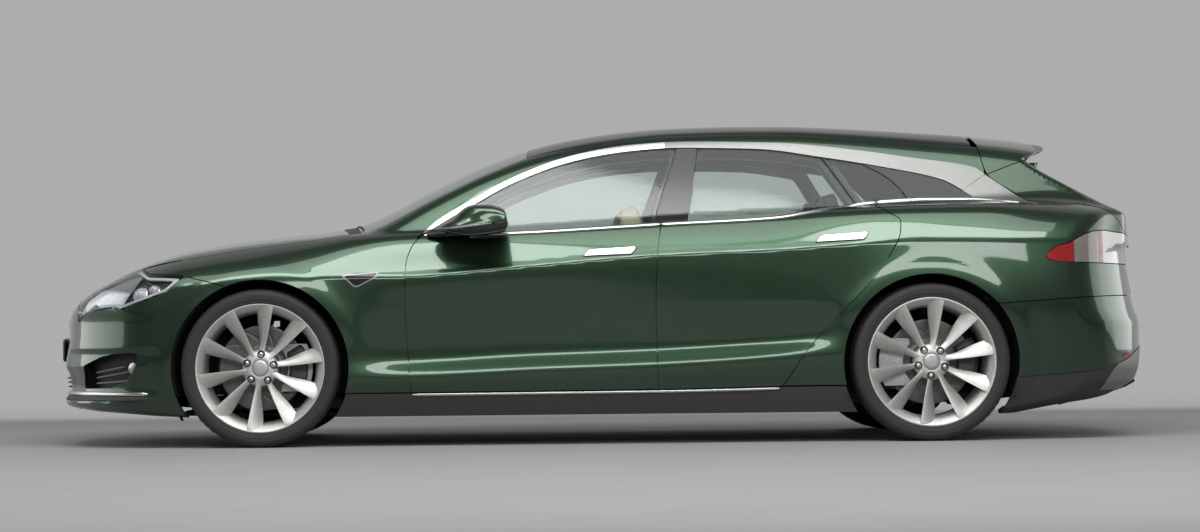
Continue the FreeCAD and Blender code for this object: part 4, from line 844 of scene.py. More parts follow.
def moulding(name, origin, heading, across, half, height, material, body, sides=SIDES):
    """A strip laid on the body: at each station of its line a closed section, half an ellipse above the
    skin and flat below, cast on the body along the heading. It tapers over its last stations."""
    heading, across = (np.broadcast_to(way, origin.shape) for way in (heading, across))
    t = np.linspace(0, np.pi, 7)
    s = np.concatenate([-np.cos(t), [.6, -.6]])
    lift = np.concatenate([np.sin(t) ** .6, [-.5, -.5]])
    n, m = len(origin), len(s)
    taper = np.minimum(1, (np.minimum(np.arange(n), n - 1 - np.arange(n)) + .6) / 1.6)
    half, height = np.broadcast_to(half, n) * taper, np.broadcast_to(height, n) * taper ** .5
    o = origin[:, None] + across[:, None] * s[None, :, None] * half[:, None, None]
    d = np.broadcast_to(heading[:, None], o.shape)
    p = cast(o.reshape(-1, 3), d.reshape(-1, 3))
    p = p + outward(p) * (lift[None, :] * height[:, None]).reshape(-1, 1)
    for side, flip in sides.items():
        loops(f"{name}_{side}" if side else name, p.reshape(n, m, 3) * flip, material,
              body.replace("SIDE", side))


def side_line(x, z):
    """Origins, headings and square-across directions for a strip along a line on the car's side."""
    t = np.stack([np.gradient(x), np.gradient(z)], 1)
    t /= np.linalg.norm(t, axis=1, keepdims=True)
    zero = np.zeros_like(x)
    return np.stack([x, zero, z], 1), (0, -1, 0), np.stack([-t[:, 1], zero, t[:, 0]], 1)


x = np.linspace(-.853, .765, 90)
moulding("sill_strip", *side_line(x, along(SILL_CUT, x) - .009), .0055, .005, chrome, "body")

# ---------------------------------------------------------------------------- bright trim
# Bright aluminium strips frame the side windows: one along the belt, split at the door cuts, and an arch
# above that widens behind the doors into a broad satin pillar trim.
BELT_STRIPS = {"front_door_SIDE": (-.797, .248), "rear_door_SIDE": (.256, 1.222), "body": (1.229, 1.875)}
for door, (x0, x1) in BELT_STRIPS.items():
    x = np.linspace(x0, x1, 60)
    z = along(BELT, x) + np.where(x > 1.66, (x - 1.66) * .045, 0)
    y = cast(np.stack([x, 0 * x, z], 1), np.broadcast_to([0.0, -1.0, 0.0], (60, 3)))[:, 1]
    y = np.convolve(np.pad(y, 4, "edge"), np.full(9, 1 / 9), "valid")
    moulding(f"belt_strip_{door.split('_')[0]}", np.stack([x, y + .24, z - .18], 1), (0, -.8, .6),
             (0, .6, .8),
             .0095, .006, chrome, door)

x, z = np.arange(-.84, 1.95, .014), np.arange(.9, 1.36, .0075)
arch_sheet = skin(rays_left(x, z))
arch_trim = trim(arch_sheet, under(TRIM_TOP, 0),
                 lambda p: np.where(p[:, 0] < 1.66, over(GLASS_TOP, 0)(p), over(BELT, .008)(p)),
                 ahead(TAILGATE_CUT), over(BELT, .008))
SPLIT = [(.9, .285), (1.6, .285)]
KINK = [(1.0, 1.52), (1.13, 1.64), (1.188, 1.729), (1.25, 1.8)]
trims = {
    "window_arch_front": (chrome, .004, trim(arch_trim, ahead(SPLIT, .0006))),
    "window_arch_rear": (satin, .004, trim(arch_trim, behind(SPLIT, .0006),
                                           ahead(KINK, 0))),
    "pillar_trim": (satin, .0015, trim(arch_trim, behind(KINK, 0))),
}
for name, (material, lift, sheet) in trims.items():
    both(name + "_SIDE", sheet, .01, material, "body", lift=lift)

BAR_FRONT = [(z, x + .004) for z, x in QUARTER_BAR]
applique = trim(arch_sheet, under(GLASS_TOP, .002),
                behind(SHUT_B1, .002), ahead(SHUT_B2, .002),
                over(BELT, 0))
bar = trim(arch_sheet, under(GLASS_TOP, .001),
           behind(BAR_FRONT, 0), ahead(QUARTER_BAR_BACK, 0),
           over(BELT, 0))
blank = trim(arch_sheet, under(GLASS_TOP, .001),
             behind(QUARTER_END, .001), over(BELT, 0))
for name, body, sheet in (("pillar_applique", "rear_door_SIDE", applique), ("quarter_bar", "body", bar),
                          ("quarter_blank", "body", blank)):
    both(name + "_SIDE", sheet, .008, black_gloss, body, lift=-.0005)

# ---------------------------------------------------------------------------- handles and badges
# The door handles lie flush, bright bars shaped as slanted blades. Behind each front wheel sits a small
# dark wedge with a bright edge.
def patch(shape, step=.004):
    """The skin inside an outline drawn on the car's side."""
    low, high = shape.min(0) - step, shape.max(0) + step
    sheet = skin(rays_left(np.arange(low[0], high[0], step), np.arange(low[1], high[1], step)))
    return trim(sheet, inside(shape))


def grown(shape, distance):
    """An outline moved outwards: each corner slides along the sum of its edges' normals over one plus their
    cosine."""
    d = np.roll(shape, -1, 0) - shape
    n = np.stack([d[:, 1], -d[:, 0]], 1) / np.linalg.norm(d, axis=1, keepdims=True)
    area = (shape[:, 0] * np.roll(shape[:, 1], -1) - shape[:, 1] * np.roll(shape[:, 0], -1)).sum()
    n *= np.sign(area)
    m = np.roll(n, 1, 0)
    return shape + (n + m) / (1 + (n * m).sum(1))[:, None] * distance


HANDLES = {
    "front": outline([(-.09, .83), (-.078, .848), (-.066, .857), (.128, .868), (.136, .866), (.132, .855),
                      (.116, .837)]),
    "rear": outline([(.936, .883), (.95, .902), (.966, .912), (1.154, .924), (1.162, .922), (1.158, .911),
                     (1.143, .893)]),
}
for end, shape in HANDLES.items():
    handle, slot_edge = patch(shape), trim(patch(grown(shape, .004)), outside(shape))
    both(f"{end}_handle_SIDE", handle, .01, chrome, f"{end}_door_SIDE", lift=.005)
    both(f"{end}_handle_gasket_SIDE", slot_edge, .004, rubber, f"{end}_door_SIDE", lift=.0012)
WEDGE = outline([(-1.162, .755), (-.994, .768), (-1.003, .746), (-1.085, .703), (-1.104, .702)])
WEDGE_FACE = grown(WEDGE, -.006)
both("wing_wedge_SIDE", patch(WEDGE_FACE), .005, black_gloss, "body", lift=.001)
both("wing_wedge_rim_SIDE", trim(patch(WEDGE), outside(WEDGE_FACE)), .005, satin, "body", lift=.003)

# ---------------------------------------------------------------------------- lamps
# The headlights are clear moulded covers over bright reflectors, a projector lens and a light strip; the
# tail lamps are red and clear windows in one wedge, cut by the tailgate's edge.
lens = clear_sheet("clear_lamp_cover", (.93, .94, .95), .035)
reflector = finish("lamp_reflector", (.6, .61, .61), .36, metallic=1.0, cells=(60.0, .1),
                   relief=(120.0, .0008))
red_lens = finish("red_lamp_cover", (.25, .006, .008), .1, coat=1.0, cells=(160.0, .1), relief=(260.0, .0002))
smoke_lens = finish("smoked_lamp_cover", (.17, .155, .14), .12, coat=1.0, cells=(160.0, .15),
                    relief=(300.0, .0002))
clear_lens = finish("clear_tail_lamp", (.5, .5, .49), .1, coat=1.0, cells=(90.0, .1), relief=(200.0, .0002))
housing = finish("lamp_housing", (.1, .105, .11), .22, metallic=.5, coat=.6, cells=(80.0, .2),
                 relief=(160.0, .0004))
light_strip = finish("light_strip", (.52, .53, .54), .25, cells=(30.0, .03))
lamp_sheet = trim(skin(rays_fan(front_path[10:84], np.arange(4, 66, .9), .45)),
                  lambda p: -off_hood(p, -GAP / 2),
                  inside(LAMP, GAP / 2), lambda p: p[:, 1] + .302)
both("headlight_cover_SIDE", lamp_sheet, .003, lens, "body", ("headlights",))
both("headlight_housing_SIDE", trim(lamp_sheet, inside(LAMP, .01)), .01, housing, "body", lift=-.042)
strip_lamp = trim(lamp_sheet, inside(LAMP, .008), outside(LAMP, -.019), lambda p: -2.25 - p[:, 0])
both("headlight_strip_SIDE", strip_lamp, .006, light_strip, "body", lift=-.01)
bright_lamp = trim(lamp_sheet, inside(LAMP, .016), lambda p: p[:, 0] + 2.1 - .6 * (p[:, 2] - .7))
both("headlight_reflector_SIDE", bright_lamp, .006, reflector, "body", lift=-.024)


def dome(centre, axis, radius, depth, rings=10, around=32):
    """A bulged disc: rings of radius r at height depth times (1 - r squared) along the axis, closed flat
    behind."""
    axis = np.array(axis, float) / np.linalg.norm(axis)
    side_a = np.cross(axis, [0, 0, 1.0])
    side_a /= np.linalg.norm(side_a)
    side_b = np.cross(axis, side_a)
    r = np.concatenate([np.linspace(.02, 1, rings), [1.0, .5, .02]])
    h = np.concatenate([1 - np.linspace(.02, 1, rings) ** 2, [-.4, -.4, -.4]])
    t = np.linspace(0, 2 * np.pi, around, endpoint=False)
    circle = side_a * np.cos(t)[None, :, None] + side_b * np.sin(t)[None, :, None]
    return np.array(centre) + axis * (h * depth)[:, None, None] + (r * radius)[:, None, None] * circle


spots = np.array([(-2.06, 0, .694), (-1.995, 0, .718)])
seats = cast(spots, np.broadcast_to([0.0, -1.0, 0.0], (2, 3)))
for k, (place, face, radius) in enumerate(zip(seats, outward(seats), (.028, .022))):
    pair(f"headlight_lens_{k}_SIDE", dome(place - face * .028, face, radius, .016), clear_lens, "body")
    pair(f"headlight_bezel_{k}_SIDE", dome(place - face * .034, face, radius * 1.25, .004), chrome, "body")

lamp_area = trim(skin(rays_fan(quarter_path[58:], np.arange(8, 50, .8), .6)),
                 inside(TAIL_LAMP, GAP / 2))
WINDOWS = (("red", 1.9, 2.08, red_lens), ("smoked", 2.0825, 2.211, smoke_lens),
           ("stripe", 2.2125, 2.229, red_lens),
           ("clear", 2.2305, 2.6, clear_lens))
for name, x0, x1, material in WINDOWS:
    window = trim(lamp_area, lambda p: x0 - p[:, 0], lambda p: p[:, 0] - x1,
                  lambda p: past(TAILGATE_CUT, p[:, 0], p[:, 2], level_gap(p)))
    both(f"tail_lamp_{name}_SIDE", window, .012, material, "body", ("taillights",) if name == "red" else ())

# ---------------------------------------------------------------------------- wheel arches
# Behind the wheels, ribbed plastic liners close the arches.
liner = finish("felted_liner", (.022, .022, .022), .9, cells=(150.0, .3), relief=(350.0, .0015))
t, y = np.radians(np.linspace(-24, 204, 64)), np.array([-.935, -.9, -.8, -.7, -.612, -.612, -.612])
r = np.array([ARCH_R + .012, ARCH_R + .016, ARCH_R + .018, ARCH_R + .018, ARCH_R + .012, .25, .1])
ribs = 1 + .006 * np.sin(t[:, None] * 30) * np.array([0, 1, 1, 1, 0, 0, 0])
house = np.stack([REAR_AXLE + r * ribs * np.cos(t)[:, None], np.broadcast_to(y, ribs.shape),
                  AXLE_Z + r * ribs * np.sin(t)[:, None]], -1)
for side, flip in SIDES.items():
    piece = loops(f"rear_arch_liner_{side}", house * flip, liner, "body", closed=False, caps=False, angle=60)
    piece.modifiers.new("wall", "SOLIDIFY").thickness = .003

# ---------------------------------------------------------------------------- wheels
# Low-profile tyres sit on cast alloy rims, whose ten twisted blades run out from the hub and over a bright
# flange. Five nuts hold each rim to its hub. Slotted iron brake discs turn behind it, gripped by black
# calipers.
tyre_rubber = finish("tyre_rubber", (.017, .0165, .016), .66, cells=(110.0, .2), relief=(700.0, .0005))
rim_silver = finish("rim_silver", (.52, .51, .49), .46, metallic=.8, cells=(80.0, .06), relief=(60.0, .0006))
cap_silver = finish("hub_cap_silver", (.42, .42, .42), .42, metallic=.8, cells=(400.0, .2),
                    relief=(700.0, .0006))
disc_iron = finish("brake_disc_iron", (.13, .127, .123), .42, metallic=1.0, cells=(50.0, .12),
                   relief=(900.0, .0003))
caliper_black = finish("caliper_black", (.03, .03, .032), .4, cells=(120.0, .2), relief=(260.0, .001))
TYRE = [(.262, .044), (.268, .02), (.276, .01), (.289, .0062), (.296, .005), (.303, .004), (.306, .0028),
        (.309, .0036), (.316, .0022), (.324, .0026), (.332, .005), (.339, .01), (.3445, .017), (.3475, .026),
        (.349, .04), (.3496, .06), (.3496, .07), (.3425, .0712), (.3425, .0785), (.35, .0797), (.35, .095),
        (.35, .106), (.3425, .1072), (.3425, .1145), (.35, .1157), (.35, .129), (.3425, .1302),
        (.3425, .1375), (.35, .1387), (.35, .15), (.3496, .164), (.3425, .1652), (.3425, .1725),
        (.3496, .1737), (.349, .204), (.3475, .218), (.3445, .227), (.339, .234), (.332, .239), (.316, .241),
        (.296, .238), (.276, .234), (.268, .224), (.262, .2)]
BARREL = [(.2868, .0065), (.2858, .0018), (.2818, .0004), (.2768, .0016), (.2715, .006), (.264, .0125),
          (.254, .0215), (.247, .033), (.243, .05), (.241, .08), (.24, .195), (.244, .212), (.256, .22),
          (.264, .226), (.267, .23), (.266, .223), (.26, .213), (.25, .2), (.247, .09), (.253, .04),
          (.262, .022), (.274, .014), (.284, .0115)]
HUB = [(0, .024), (.036, .024), (.0385, .0205), (.046, .0195), (.056, .0215), (.068, .025), (.078, .033),
       (.0825, .045), (.08, .057), (0, .057)]
CAP = [(0, .0165), (.024, .017), (.031, .0182), (.0345, .021), (.035, .03), (0, .03)]
NUT_SEAT = [(.011, .023), (.0112, .0185), (.014, .0172), (.0168, .0178), (.0178, .0205), (.0176, .033),
            (.011, .033)]
NUT = [(0, .015), (.005, .0155), (.0082, .0172), (.0092, .02), (.0092, .033), (0, .033)]
DISC = ([(.034, .002), (.074, .0004), (.0815, .005), (.0835, .056), (.098, .061)]
        + [(r, .061) for r in np.linspace(.104, .184, 17)]
        + [(.1885, .063), (.189, .073), (.182, .0738), (.182, .08), (.189, .0808), (.1885, .0905),
           (.184, .0925), (.098, .0925), (.079, .086), (.074, .013), (.034, .011)])
NUT_CIRCLE = .0615


def lathed(profile, centre, around=96, change=None):
    """A closed profile of (radius, depth) turned round a level axle: the point is the centre plus radius
    times cosine and sine of the angle in the car's side view, and depth inward. A change may shift radius
    and depth by angle."""
    t = np.linspace(0, 2 * np.pi, around + 1)[:, None]
    r, d = np.array(profile, float).T[:, None]
    if change:
        r, d = change(r, d, t)
    r, d, t = np.broadcast_arrays(r, d, t)
    return np.stack([centre[0] + r * np.cos(t), centre[1] + d, centre[2] + r * np.sin(t)], -1)


def tread_blocks(r, d, t):
    """Cross grooves in both shoulders: 64 cuts round the tyre, leaning with the depth."""
    shoulder = (r > .3465) & ((d < .071) | (d > .173))
    return r - .004 * shoulder * (np.sin(64 * t + 40 * np.abs(d - .122)) > .72), d


def disc_slots(r, d, t):
    """Twelve shallow curved slots in the outer face of the friction ring."""
    face = (d == .061) & (r > .108) & (r < .18)
    return r, d + .0016 * face * (np.cos(12 * (t - 6 * (r - .104))) > .96)


def blade(angle, centre):
    """One blade: at each radius a closed section between a sharp leading edge, straight and flush with the
    flange, and a trailing edge that curves back and sinks, so that the face twists. The face is slightly
    hollow, the back full."""
    r = np.concatenate([np.linspace(.05, .262, 17), [.268, .2735]])[:, None]
    lead = along([(.05, .0145), (.08, .0145), (.105, .018), (.16, .0265), (.22, .0345), (.266, .0405),
                  (.28, .042)], r)
    trail = along([(.05, -.0125), (.08, -.0095), (.105, -.009), (.15, -.015), (.2, -.0235), (.25, -.0275),
                   (.28, -.028)], r)
    lead_d = along([(.05, .0225), (.075, .0235), (.1, .0225), (.16, .015), (.22, .0065), (.266, .0008),
                    (.28, .0004)], r)
    trail_d = along([(.05, .024), (.075, .029), (.1, .036), (.16, .041), (.22, .037), (.25, .028),
                     (.28, .012)], r)
    thick = along([(.05, .022), (.12, .016), (.22, .014), (.262, .012), (.28, .008)], r)
    w = np.linspace(0, 1, 10)[None, :]
    face = lead_d + (trail_d - lead_d) * w ** 1.35 - .0022 * np.sin(np.pi * w)
    back = face + .0035 + thick * np.sin(np.pi * w) ** .8
    across = lead + (trail - lead) * w
    offset, depth = np.concatenate([across, across[:, ::-1]], 1), np.concatenate([face, back[:, ::-1]], 1)
    c, s = np.cos(angle), np.sin(angle)
    return np.stack([centre[0] + r * c + offset * s, centre[1] + depth, centre[2] + r * s - offset * c], -1)


def caliper(angle, centre):
    """Three joined blocks round the disc's edge, outer half, bridge and inner half: each a rounded
    rectangle of radius and depth carried over an arc, drawn in at both ends."""
    out = []
    for (r0, r1), (d0, d1), reach in (((.124, .208), (.08, .116), 27), ((.193, .219), (.096, .172), 25),
                                      ((.128, .208), (.1585, .18), 24)):
        t = np.linspace(-1, 1, 25)[:, None]
        e = np.linspace(0, 2 * np.pi, 20, endpoint=False)[None, :]
        shrink = 1 - .16 * np.abs(t) ** 8
        half_r, half_d = (r1 - r0) / 2 * shrink, (d1 - d0) / 2 * shrink
        r = (r0 + r1) / 2 + half_r * np.sign(np.cos(e)) * np.abs(np.cos(e)) ** .45
        d = (d0 + d1) / 2 + half_d * np.sign(np.sin(e)) * np.abs(np.sin(e)) ** .45
        d = d - .003 * np.cos(t * 9) * (np.sin(e) < 0)
        a = angle + np.radians(reach) * t
        out.append(np.stack([centre[0] + r * np.cos(a), centre[1] + d, centre[2] + r * np.sin(a)], -1))
    return out


# axle, level of the rim's face and of the tyre's side wall, first blade's and first nut's angle, the
# caliper's body
WHEELS = {"front": (FRONT_AXLE, -.9465, -.9535, 86, 86, "steered_knuckle_SIDE"),
          "rear": (REAR_AXLE, -.9655, -.9715, 87, 267, "body")}
for end, (axle, face_y, tyre_y, first_blade, first_nut, holder) in WHEELS.items():
    centre = (axle, face_y, AXLE_Z)
    nut_centres = [(axle + NUT_CIRCLE * np.cos(a), face_y, AXLE_Z + NUT_CIRCLE * np.sin(a))
                   for a in np.radians(first_nut + 72 * np.arange(5))]
    blades = [blade(np.radians(first_blade + 36 * k), centre) for k in range(10)]
    barrel, hub, cap = lathed(BARREL, centre), lathed(HUB, centre), lathed(CAP, centre, 64)
    seats, nuts = [lathed(NUT_SEAT, c, 28) for c in nut_centres], [lathed(NUT, c, 6) for c in nut_centres]
    tread = lathed(TYRE, (axle, tyre_y, AXLE_Z), 256, tread_blocks)
    disc = lathed(DISC, (axle, face_y + .0605, AXLE_Z), 192, disc_slots)
    wheel, tag = f"wheel_{end}_SIDE", f"{end}_SIDE"
    pair(f"tyre_tread_{tag}", tread, tyre_rubber, wheel, (f"tyre_{tag}",), caps=False, angle=32)
    pair(f"alloy_barrel_{tag}", barrel, rim_silver, wheel, (f"rim_{tag}",), caps=False, angle=50)
    pair(f"alloy_blades_{tag}", blades + [hub], rim_silver, wheel, angle=38)
    pair(f"hub_cap_{tag}", cap, cap_silver, wheel, caps=False)
    pair(f"nut_seats_{tag}", seats, black_gloss, wheel, caps=False)
    pair(f"wheel_nuts_{tag}", nuts, chrome, wheel, caps=False, angle=25)
    pair(f"slotted_disc_{tag}", disc, disc_iron, wheel, (f"brake_disc_{tag}",), caps=False, angle=30)
    pair(f"caliper_{tag}", caliper(np.radians(4), centre), caliper_black, holder, angle=50)

# ---------------------------------------------------------------------------- mirrors
# Each door mirror is a painted cap over a black shell with a bright line between, on a short arm from the
# door's corner.
def superellipse(around, power):
    """A closed outline of half width one: signed powers, two over the given power, of cosine and sine."""
    t = np.linspace(0, 2 * np.pi, around, endpoint=False)
    return (np.sign(f) * np.abs(f) ** (2 / power) for f in (np.cos(t), np.sin(t)))


def swept(path, across, up, power=2.0, around=24, lean=(0, 0, 1)):
    """A section carried along a path: each ring is a superellipse, signed powers of cosine and sine times
    the half widths across and up, square to the path's direction."""
    path = np.array(path, float)
    along_path = np.gradient(path, axis=0)
    along_path /= np.linalg.norm(along_path, axis=1, keepdims=True)
    side_way = np.cross(along_path, np.array(lean, float))
    side_way /= np.linalg.norm(side_way, axis=1, keepdims=True)
    up_way = np.cross(side_way, along_path)
    u, v = superellipse(around, power)
    a, b = (np.broadcast_to(w, len(path))[:, None, None] for w in (across, up))
    return path[:, None] + side_way[:, None] * u[None, :, None] * a + up_way[:, None] * v[None, :, None] * b


def slab(centre, half, thick, lean=0.0, corner=.01, power=5.0, around=56):
    """A flat rounded plate across the car: a superellipse outline of half width and half height, its rings
    drawn in by the corner radius towards both faces like a quarter circle. Its top leans back by an angle
    in degrees."""
    s, c = np.sin(np.radians(lean)), np.cos(np.radians(lean))
    across, up, out = np.array([0, 1, 0]), np.array([s, 0, c]), np.array([c, 0, -s])
    e = np.radians(np.linspace(-90, 90, 9))
    u, v = superellipse(around, power)
    inset, height = corner * (1 - np.cos(e)), thick / 2 * np.sin(e)
    return (np.array(centre, float) + across * (half[0] - inset)[:, None, None] * u[None, :, None]
            + up * (half[1] - inset)[:, None, None] * v[None, :, None] + out * height[:, None, None])


def smooth_path(points, count=40):
    """A path through a few places: each coordinate is a monotone cubic over the length run so far."""
    p = np.array(points, float)
    run = np.concatenate([[0], np.cumsum(np.linalg.norm(np.diff(p, axis=0), axis=1))])
    t = np.linspace(0, run[-1], count)
    return np.stack([along(np.stack([run, c], 1), t) for c in p.T], 1)


mirror_glass = finish("mirror_glass", (.75, .78, .8), .02, metallic=1.0, cells=(3.0, .02))
UPPER = outline([(-.735, .953), (-.715, .972), (-.671, .997), (-.635, 1.03), (-.6, 1.053), (-.56, 1.06),
                 (-.515, 1.06), (-.47, 1.051), (-.442, 1.035), (-.432, 1.01), (-.431, .972), (-.5, .963),
                 (-.6, .953), (-.68, .948)], smooth=True)
LOWER = outline([(-.742, .951), (-.69, .944), (-.6, .949), (-.5, .959), (-.431, .968), (-.43, .945),
                 (-.455, .934), (-.504, .927), (-.56, .922), (-.61, .922), (-.68, .934), (-.725, .944)],
                smooth=True)
LINE = outline([(-.742, .9535), (-.69, .9485), (-.6, .9535), (-.5, .964), (-.43, .973), (-.4295, .9655),
                (-.5, .956), (-.6, .9455), (-.69, .9405), (-.745, .949)], smooth=True)
s = np.concatenate([np.linspace(0, .92, 20), [.95, .975, .99, 1.0]])
size = along([(0, .74), (.08, .88), (.3, .99), (.5, 1), (.72, .95), (.87, .8), (.95, .6), (.985, .4),
              (1, .22)], s)
out_y = -.902 - .207 * s
for name, shape, grow, material in (("mirror_cap", UPPER, 1.0, paint),
                                    ("mirror_shell", LOWER, 1.0, black_gloss),
                                    ("mirror_line", LINE, 1.008, chrome)):
    x = -.43 + (shape[:, 0] + .43)[None, :] * size[:, None] * grow
    z = .985 + (shape[:, 1] - .985)[None, :] * size[:, None] ** .8
    head = np.stack([x, np.broadcast_to(out_y[:, None], x.shape), z], -1)
    pair(name + "_SIDE", head, material, "front_door_SIDE", ("mirror_SIDE",) if name == "mirror_cap" else (),
         angle=60)
pane = slab((-.4305, -1.000, .998), (.082, .04), .004, corner=.003, power=4.0)
arm = swept(smooth_path([(-.61, -.925, .938), (-.665, -.905, .934), (-.725, -.88, .93),
                         (-.775, -.862, .928)], 16),
            np.linspace(.055, .03, 16), np.linspace(.014, .009, 16), 2.6)
foot = patch(outline([(-.806, .934), (-.752, .964), (-.69, .996), (-.672, .985), (-.665, .946), (-.7, .938)]),
             .006)
pair("mirror_pane_SIDE", pane, mirror_glass, "front_door_SIDE")
pair("mirror_arm_SIDE", arm, black_gloss, "front_door_SIDE")
both("mirror_foot_SIDE", foot, .01, black_gloss, "front_door_SIDE", lift=.003)

# ---------------------------------------------------------------------------- front details
# Black mouldings fill the openings in the front bumper: a blade insert on the nose, a barred lower intake,
# and side intakes with three bright vanes and a fog lamp each. A thin splitter with a bright top edge runs
# under it all.
blank_plate = finish("blank_plate", (.62, .62, .6), .45, cells=(40.0, .04), relief=(500.0, .0003))
mesh_black = finish("intake_mesh", (.012, .012, .013), .55, cells=(250.0, .4), relief=(450.0, .003))
backing = trim(skin(rays_fan(front_path, np.arange(-46, 22, 4.0), .45)), lambda p: p[:, 2] - .445,
               lambda p: .17 - p[:, 2], lambda p: p[:, 0] + 1.995)
panel("intake_backing", backing, .006, mesh_black, "body", lift=-.055)
NOSE_INSERT = outline([(-.33, .56), (-.2, .6), (.2, .6), (.33, .56), (.24, .512), (.1, .5), (-.1, .5),
                       (-.24, .512)])
insert = trim(skin(rays_fan(front_path, np.arange(-6, 26, .8), .45)), inside(NOSE_INSERT, view=(1, 2)),
              lambda p: p[:, 0] + 2.2)
panel("nose_insert", insert, .004, black_gloss, "body", lift=.0015)


def front_line(run, height, steps=120):
    """Origins, headings and square-across directions for a strip round the nose at heights given along the
    run."""
    x, y, heading = (np.interp(np.linspace(*run, steps), np.arange(len(front_path)),
                               c) for c in np.array(front_path).T)
    h = np.radians(heading)
    return (np.stack([x, y, np.full(steps, height)], 1), np.stack([np.cos(h), np.sin(h), np.zeros(steps)], 1),
            (0, 0, 1))


last = len(front_path) - 1
moulding("splitter_edge", *front_line((24, last - 24), .239), .0085, .012, chrome, "body", CENTRE)
moulding("splitter_blade", *front_line((24, last - 24), .219), .0105, .008, dark_plastic, "body", CENTRE)
for k, z in enumerate((.268, .288, .308)):
    moulding(f"grille_bar_{k}", *front_line((71, last - 71), z, 60), .003, -.022, dark_plastic, "body",
             CENTRE)
VANES = ((.335, .362, -2.12), (.312, .34, -2.098), (.288, .3, -2.1))
for k, (front_z, rear_z, rear_x) in enumerate(VANES):
    x, z = np.linspace(-2.262, rear_x, 24), np.linspace(front_z, rear_z, 24)
    moulding(f"intake_vane_{k}", *side_line(x, z), .0036, -.01, satin, "body")
pair("fog_lamp_SIDE", dome((-2.092, -.838, .352), (-.55, -.83, 0), .02, .006), lens, "body")
pair("fog_bezel_SIDE", dome((-2.088, -.832, .352), (-.55, -.83, 0), .026, .003), chrome, "body")
flap = smooth_path([(-1.905, -.74, .168), (-1.893, -.74, .14), (-1.88, -.74, .118)], 8)
pair("air_deflector_SIDE", swept(flap, .045, .0025, 4.0, lean=(1, 0, 0)), rubber, "body")
loops("front_plate_carrier", slab((-2.4685, 0, .432), (.262, .056), .012, corner=.006, power=9.0),
      black_gloss, "body")
loops("front_plate", slab((-2.4748, 0, .432), (.256, .05), .004, corner=.002, power=12.0), dark_plastic,
      "body")

# ---------------------------------------------------------------------------- cowl and wipers
# Between the hood and the windshield lies a black plastic cowl with two wipers parked on the foot of the
# glass.
COWL_REAR = [(0, -1.121), (.43, -1.109), (.6, -1.097), (.77, -1.077), (.85, -1.063)]
cowl = trim(skin(rays_up(np.arange(-1.22, -1.02, .008), np.linspace(-.8, .8, 61))),
            lambda p: short_of(HOOD_REAR, p[:, 0], np.abs(p[:, 1]), .003),
            lambda p: past(COWL_REAR, p[:, 0], np.abs(p[:, 1]), 0), lambda p: np.abs(p[:, 1]) - .775)
panel("cowl_cover", cowl, .008, dark_plastic, "body", lift=.0015)
for k, (y0, y1) in enumerate(((-.66, -.06), (-.02, .6))):
    y = np.linspace(y0, y1, 40)
    x = -1.112 + .03 * (np.abs(y) / .7) ** 2 + .012 * np.cos(np.linspace(0, np.pi, 40))
    run = np.stack([np.gradient(y), -np.gradient(x), np.zeros(40)], 1)
    run /= np.linalg.norm(run, axis=1, keepdims=True)
    moulding(f"wiper_{k}", np.stack([x, y, np.full(40, .5)], 1), (0, 0, 1), run, .005, .004, rubber, "body",
             CENTRE)

# ---------------------------------------------------------------------------- tail details
# The tail lamps go on across the tailgate's corners and are joined by a bright bar. A high brake lamp sits
# in the spoiler's black underside. Below the blank plate the bumper ends in a satin diffuser with red
# reflectors.
gate_lamp = trim(gate_sheet, lambda p: 2.3 - p[:, 0], lambda p: in_gate_lamp(p) + .002)
GATE_WINDOWS = (("clear", .6, .95, clear_lens), ("red", .36, .597, red_lens), ("tip", .0, .357, smoke_lens))
for name, y0, y1, material in GATE_WINDOWS:
    window = trim(gate_lamp, lambda p: y0 - np.abs(p[:, 1]), lambda p: np.abs(p[:, 1]) - y1)
    panel(f"gate_lamp_{name}", window, .012, material, "tailgate",
          ("tailgate_lights",) if name == "red" else ())
bar = np.stack([np.full(60, 1.75), np.linspace(-.4, .4, 60), np.full(60, .872)], 1)
moulding("tailgate_bar", bar, (1, 0, 0), (0, 0, 1), .011, .009, chrome, "tailgate", CENTRE)


def rear_plate(name, half, z0, z1, material, lift, step=.012):
    """The skin inside an upright rectangle on the tailgate, over a grid of level rays to the rear."""
    shape = outline([(-half, z0), (-half, z1), (half, z1), (half, z0)])
    y, z = np.arange(-half - step, half + step, step), np.arange(z0 - step, z1 + step, step)
    grid = np.stack(np.broadcast_arrays(1.75, y[None, :], z[:, None]), -1)
    sheet = skin((grid, np.broadcast_to([1.0, 0.0, 0.0], grid.shape)))
    panel(name, trim(sheet, inside(shape, view=(1, 2))), .005, material, "tailgate", lift=lift)


rear_plate("rear_plate_frame", .272, .652, .778, black_gloss, .002)
rear_plate("rear_plate", .262, .66, .77, blank_plate, .004)
for name, reach, material, section in (
        ("spoiler_underside", .43, black_gloss, [(-.02, 1.238), (.004, 1.24), (.008, 1.262), (.03, 1.284),
                                                 (.018, 1.294), (-.02, 1.29)]),
        ("high_brake_lamp", .17, red_lens, [(.006, 1.25), (.014, 1.252), (.024, 1.268), (.02, 1.276),
                                            (.006, 1.262)])):
    y, (dx, z) = np.linspace(-.42, .42, 40), np.array(section).T
    y = y[np.abs(y) < reach, None]
    loops(name, np.stack(np.broadcast_arrays(1.962 - .05 * np.abs(y / .6) ** 3 + dx, y, z), -1), material,
          "tailgate")
DIFFUSER_EDGE = [(.15, 2.16), (.21, 2.205), (.3, 2.27), (.392, 2.345), (.45, 2.4)]
diffuser = trim(rear_cover, under(DARK_EDGE, .004), behind(DIFFUSER_EDGE, 0),
                lambda p: .215 - p[:, 2])
panel("rear_diffuser", diffuser, .01, satin, "body", lift=.002)
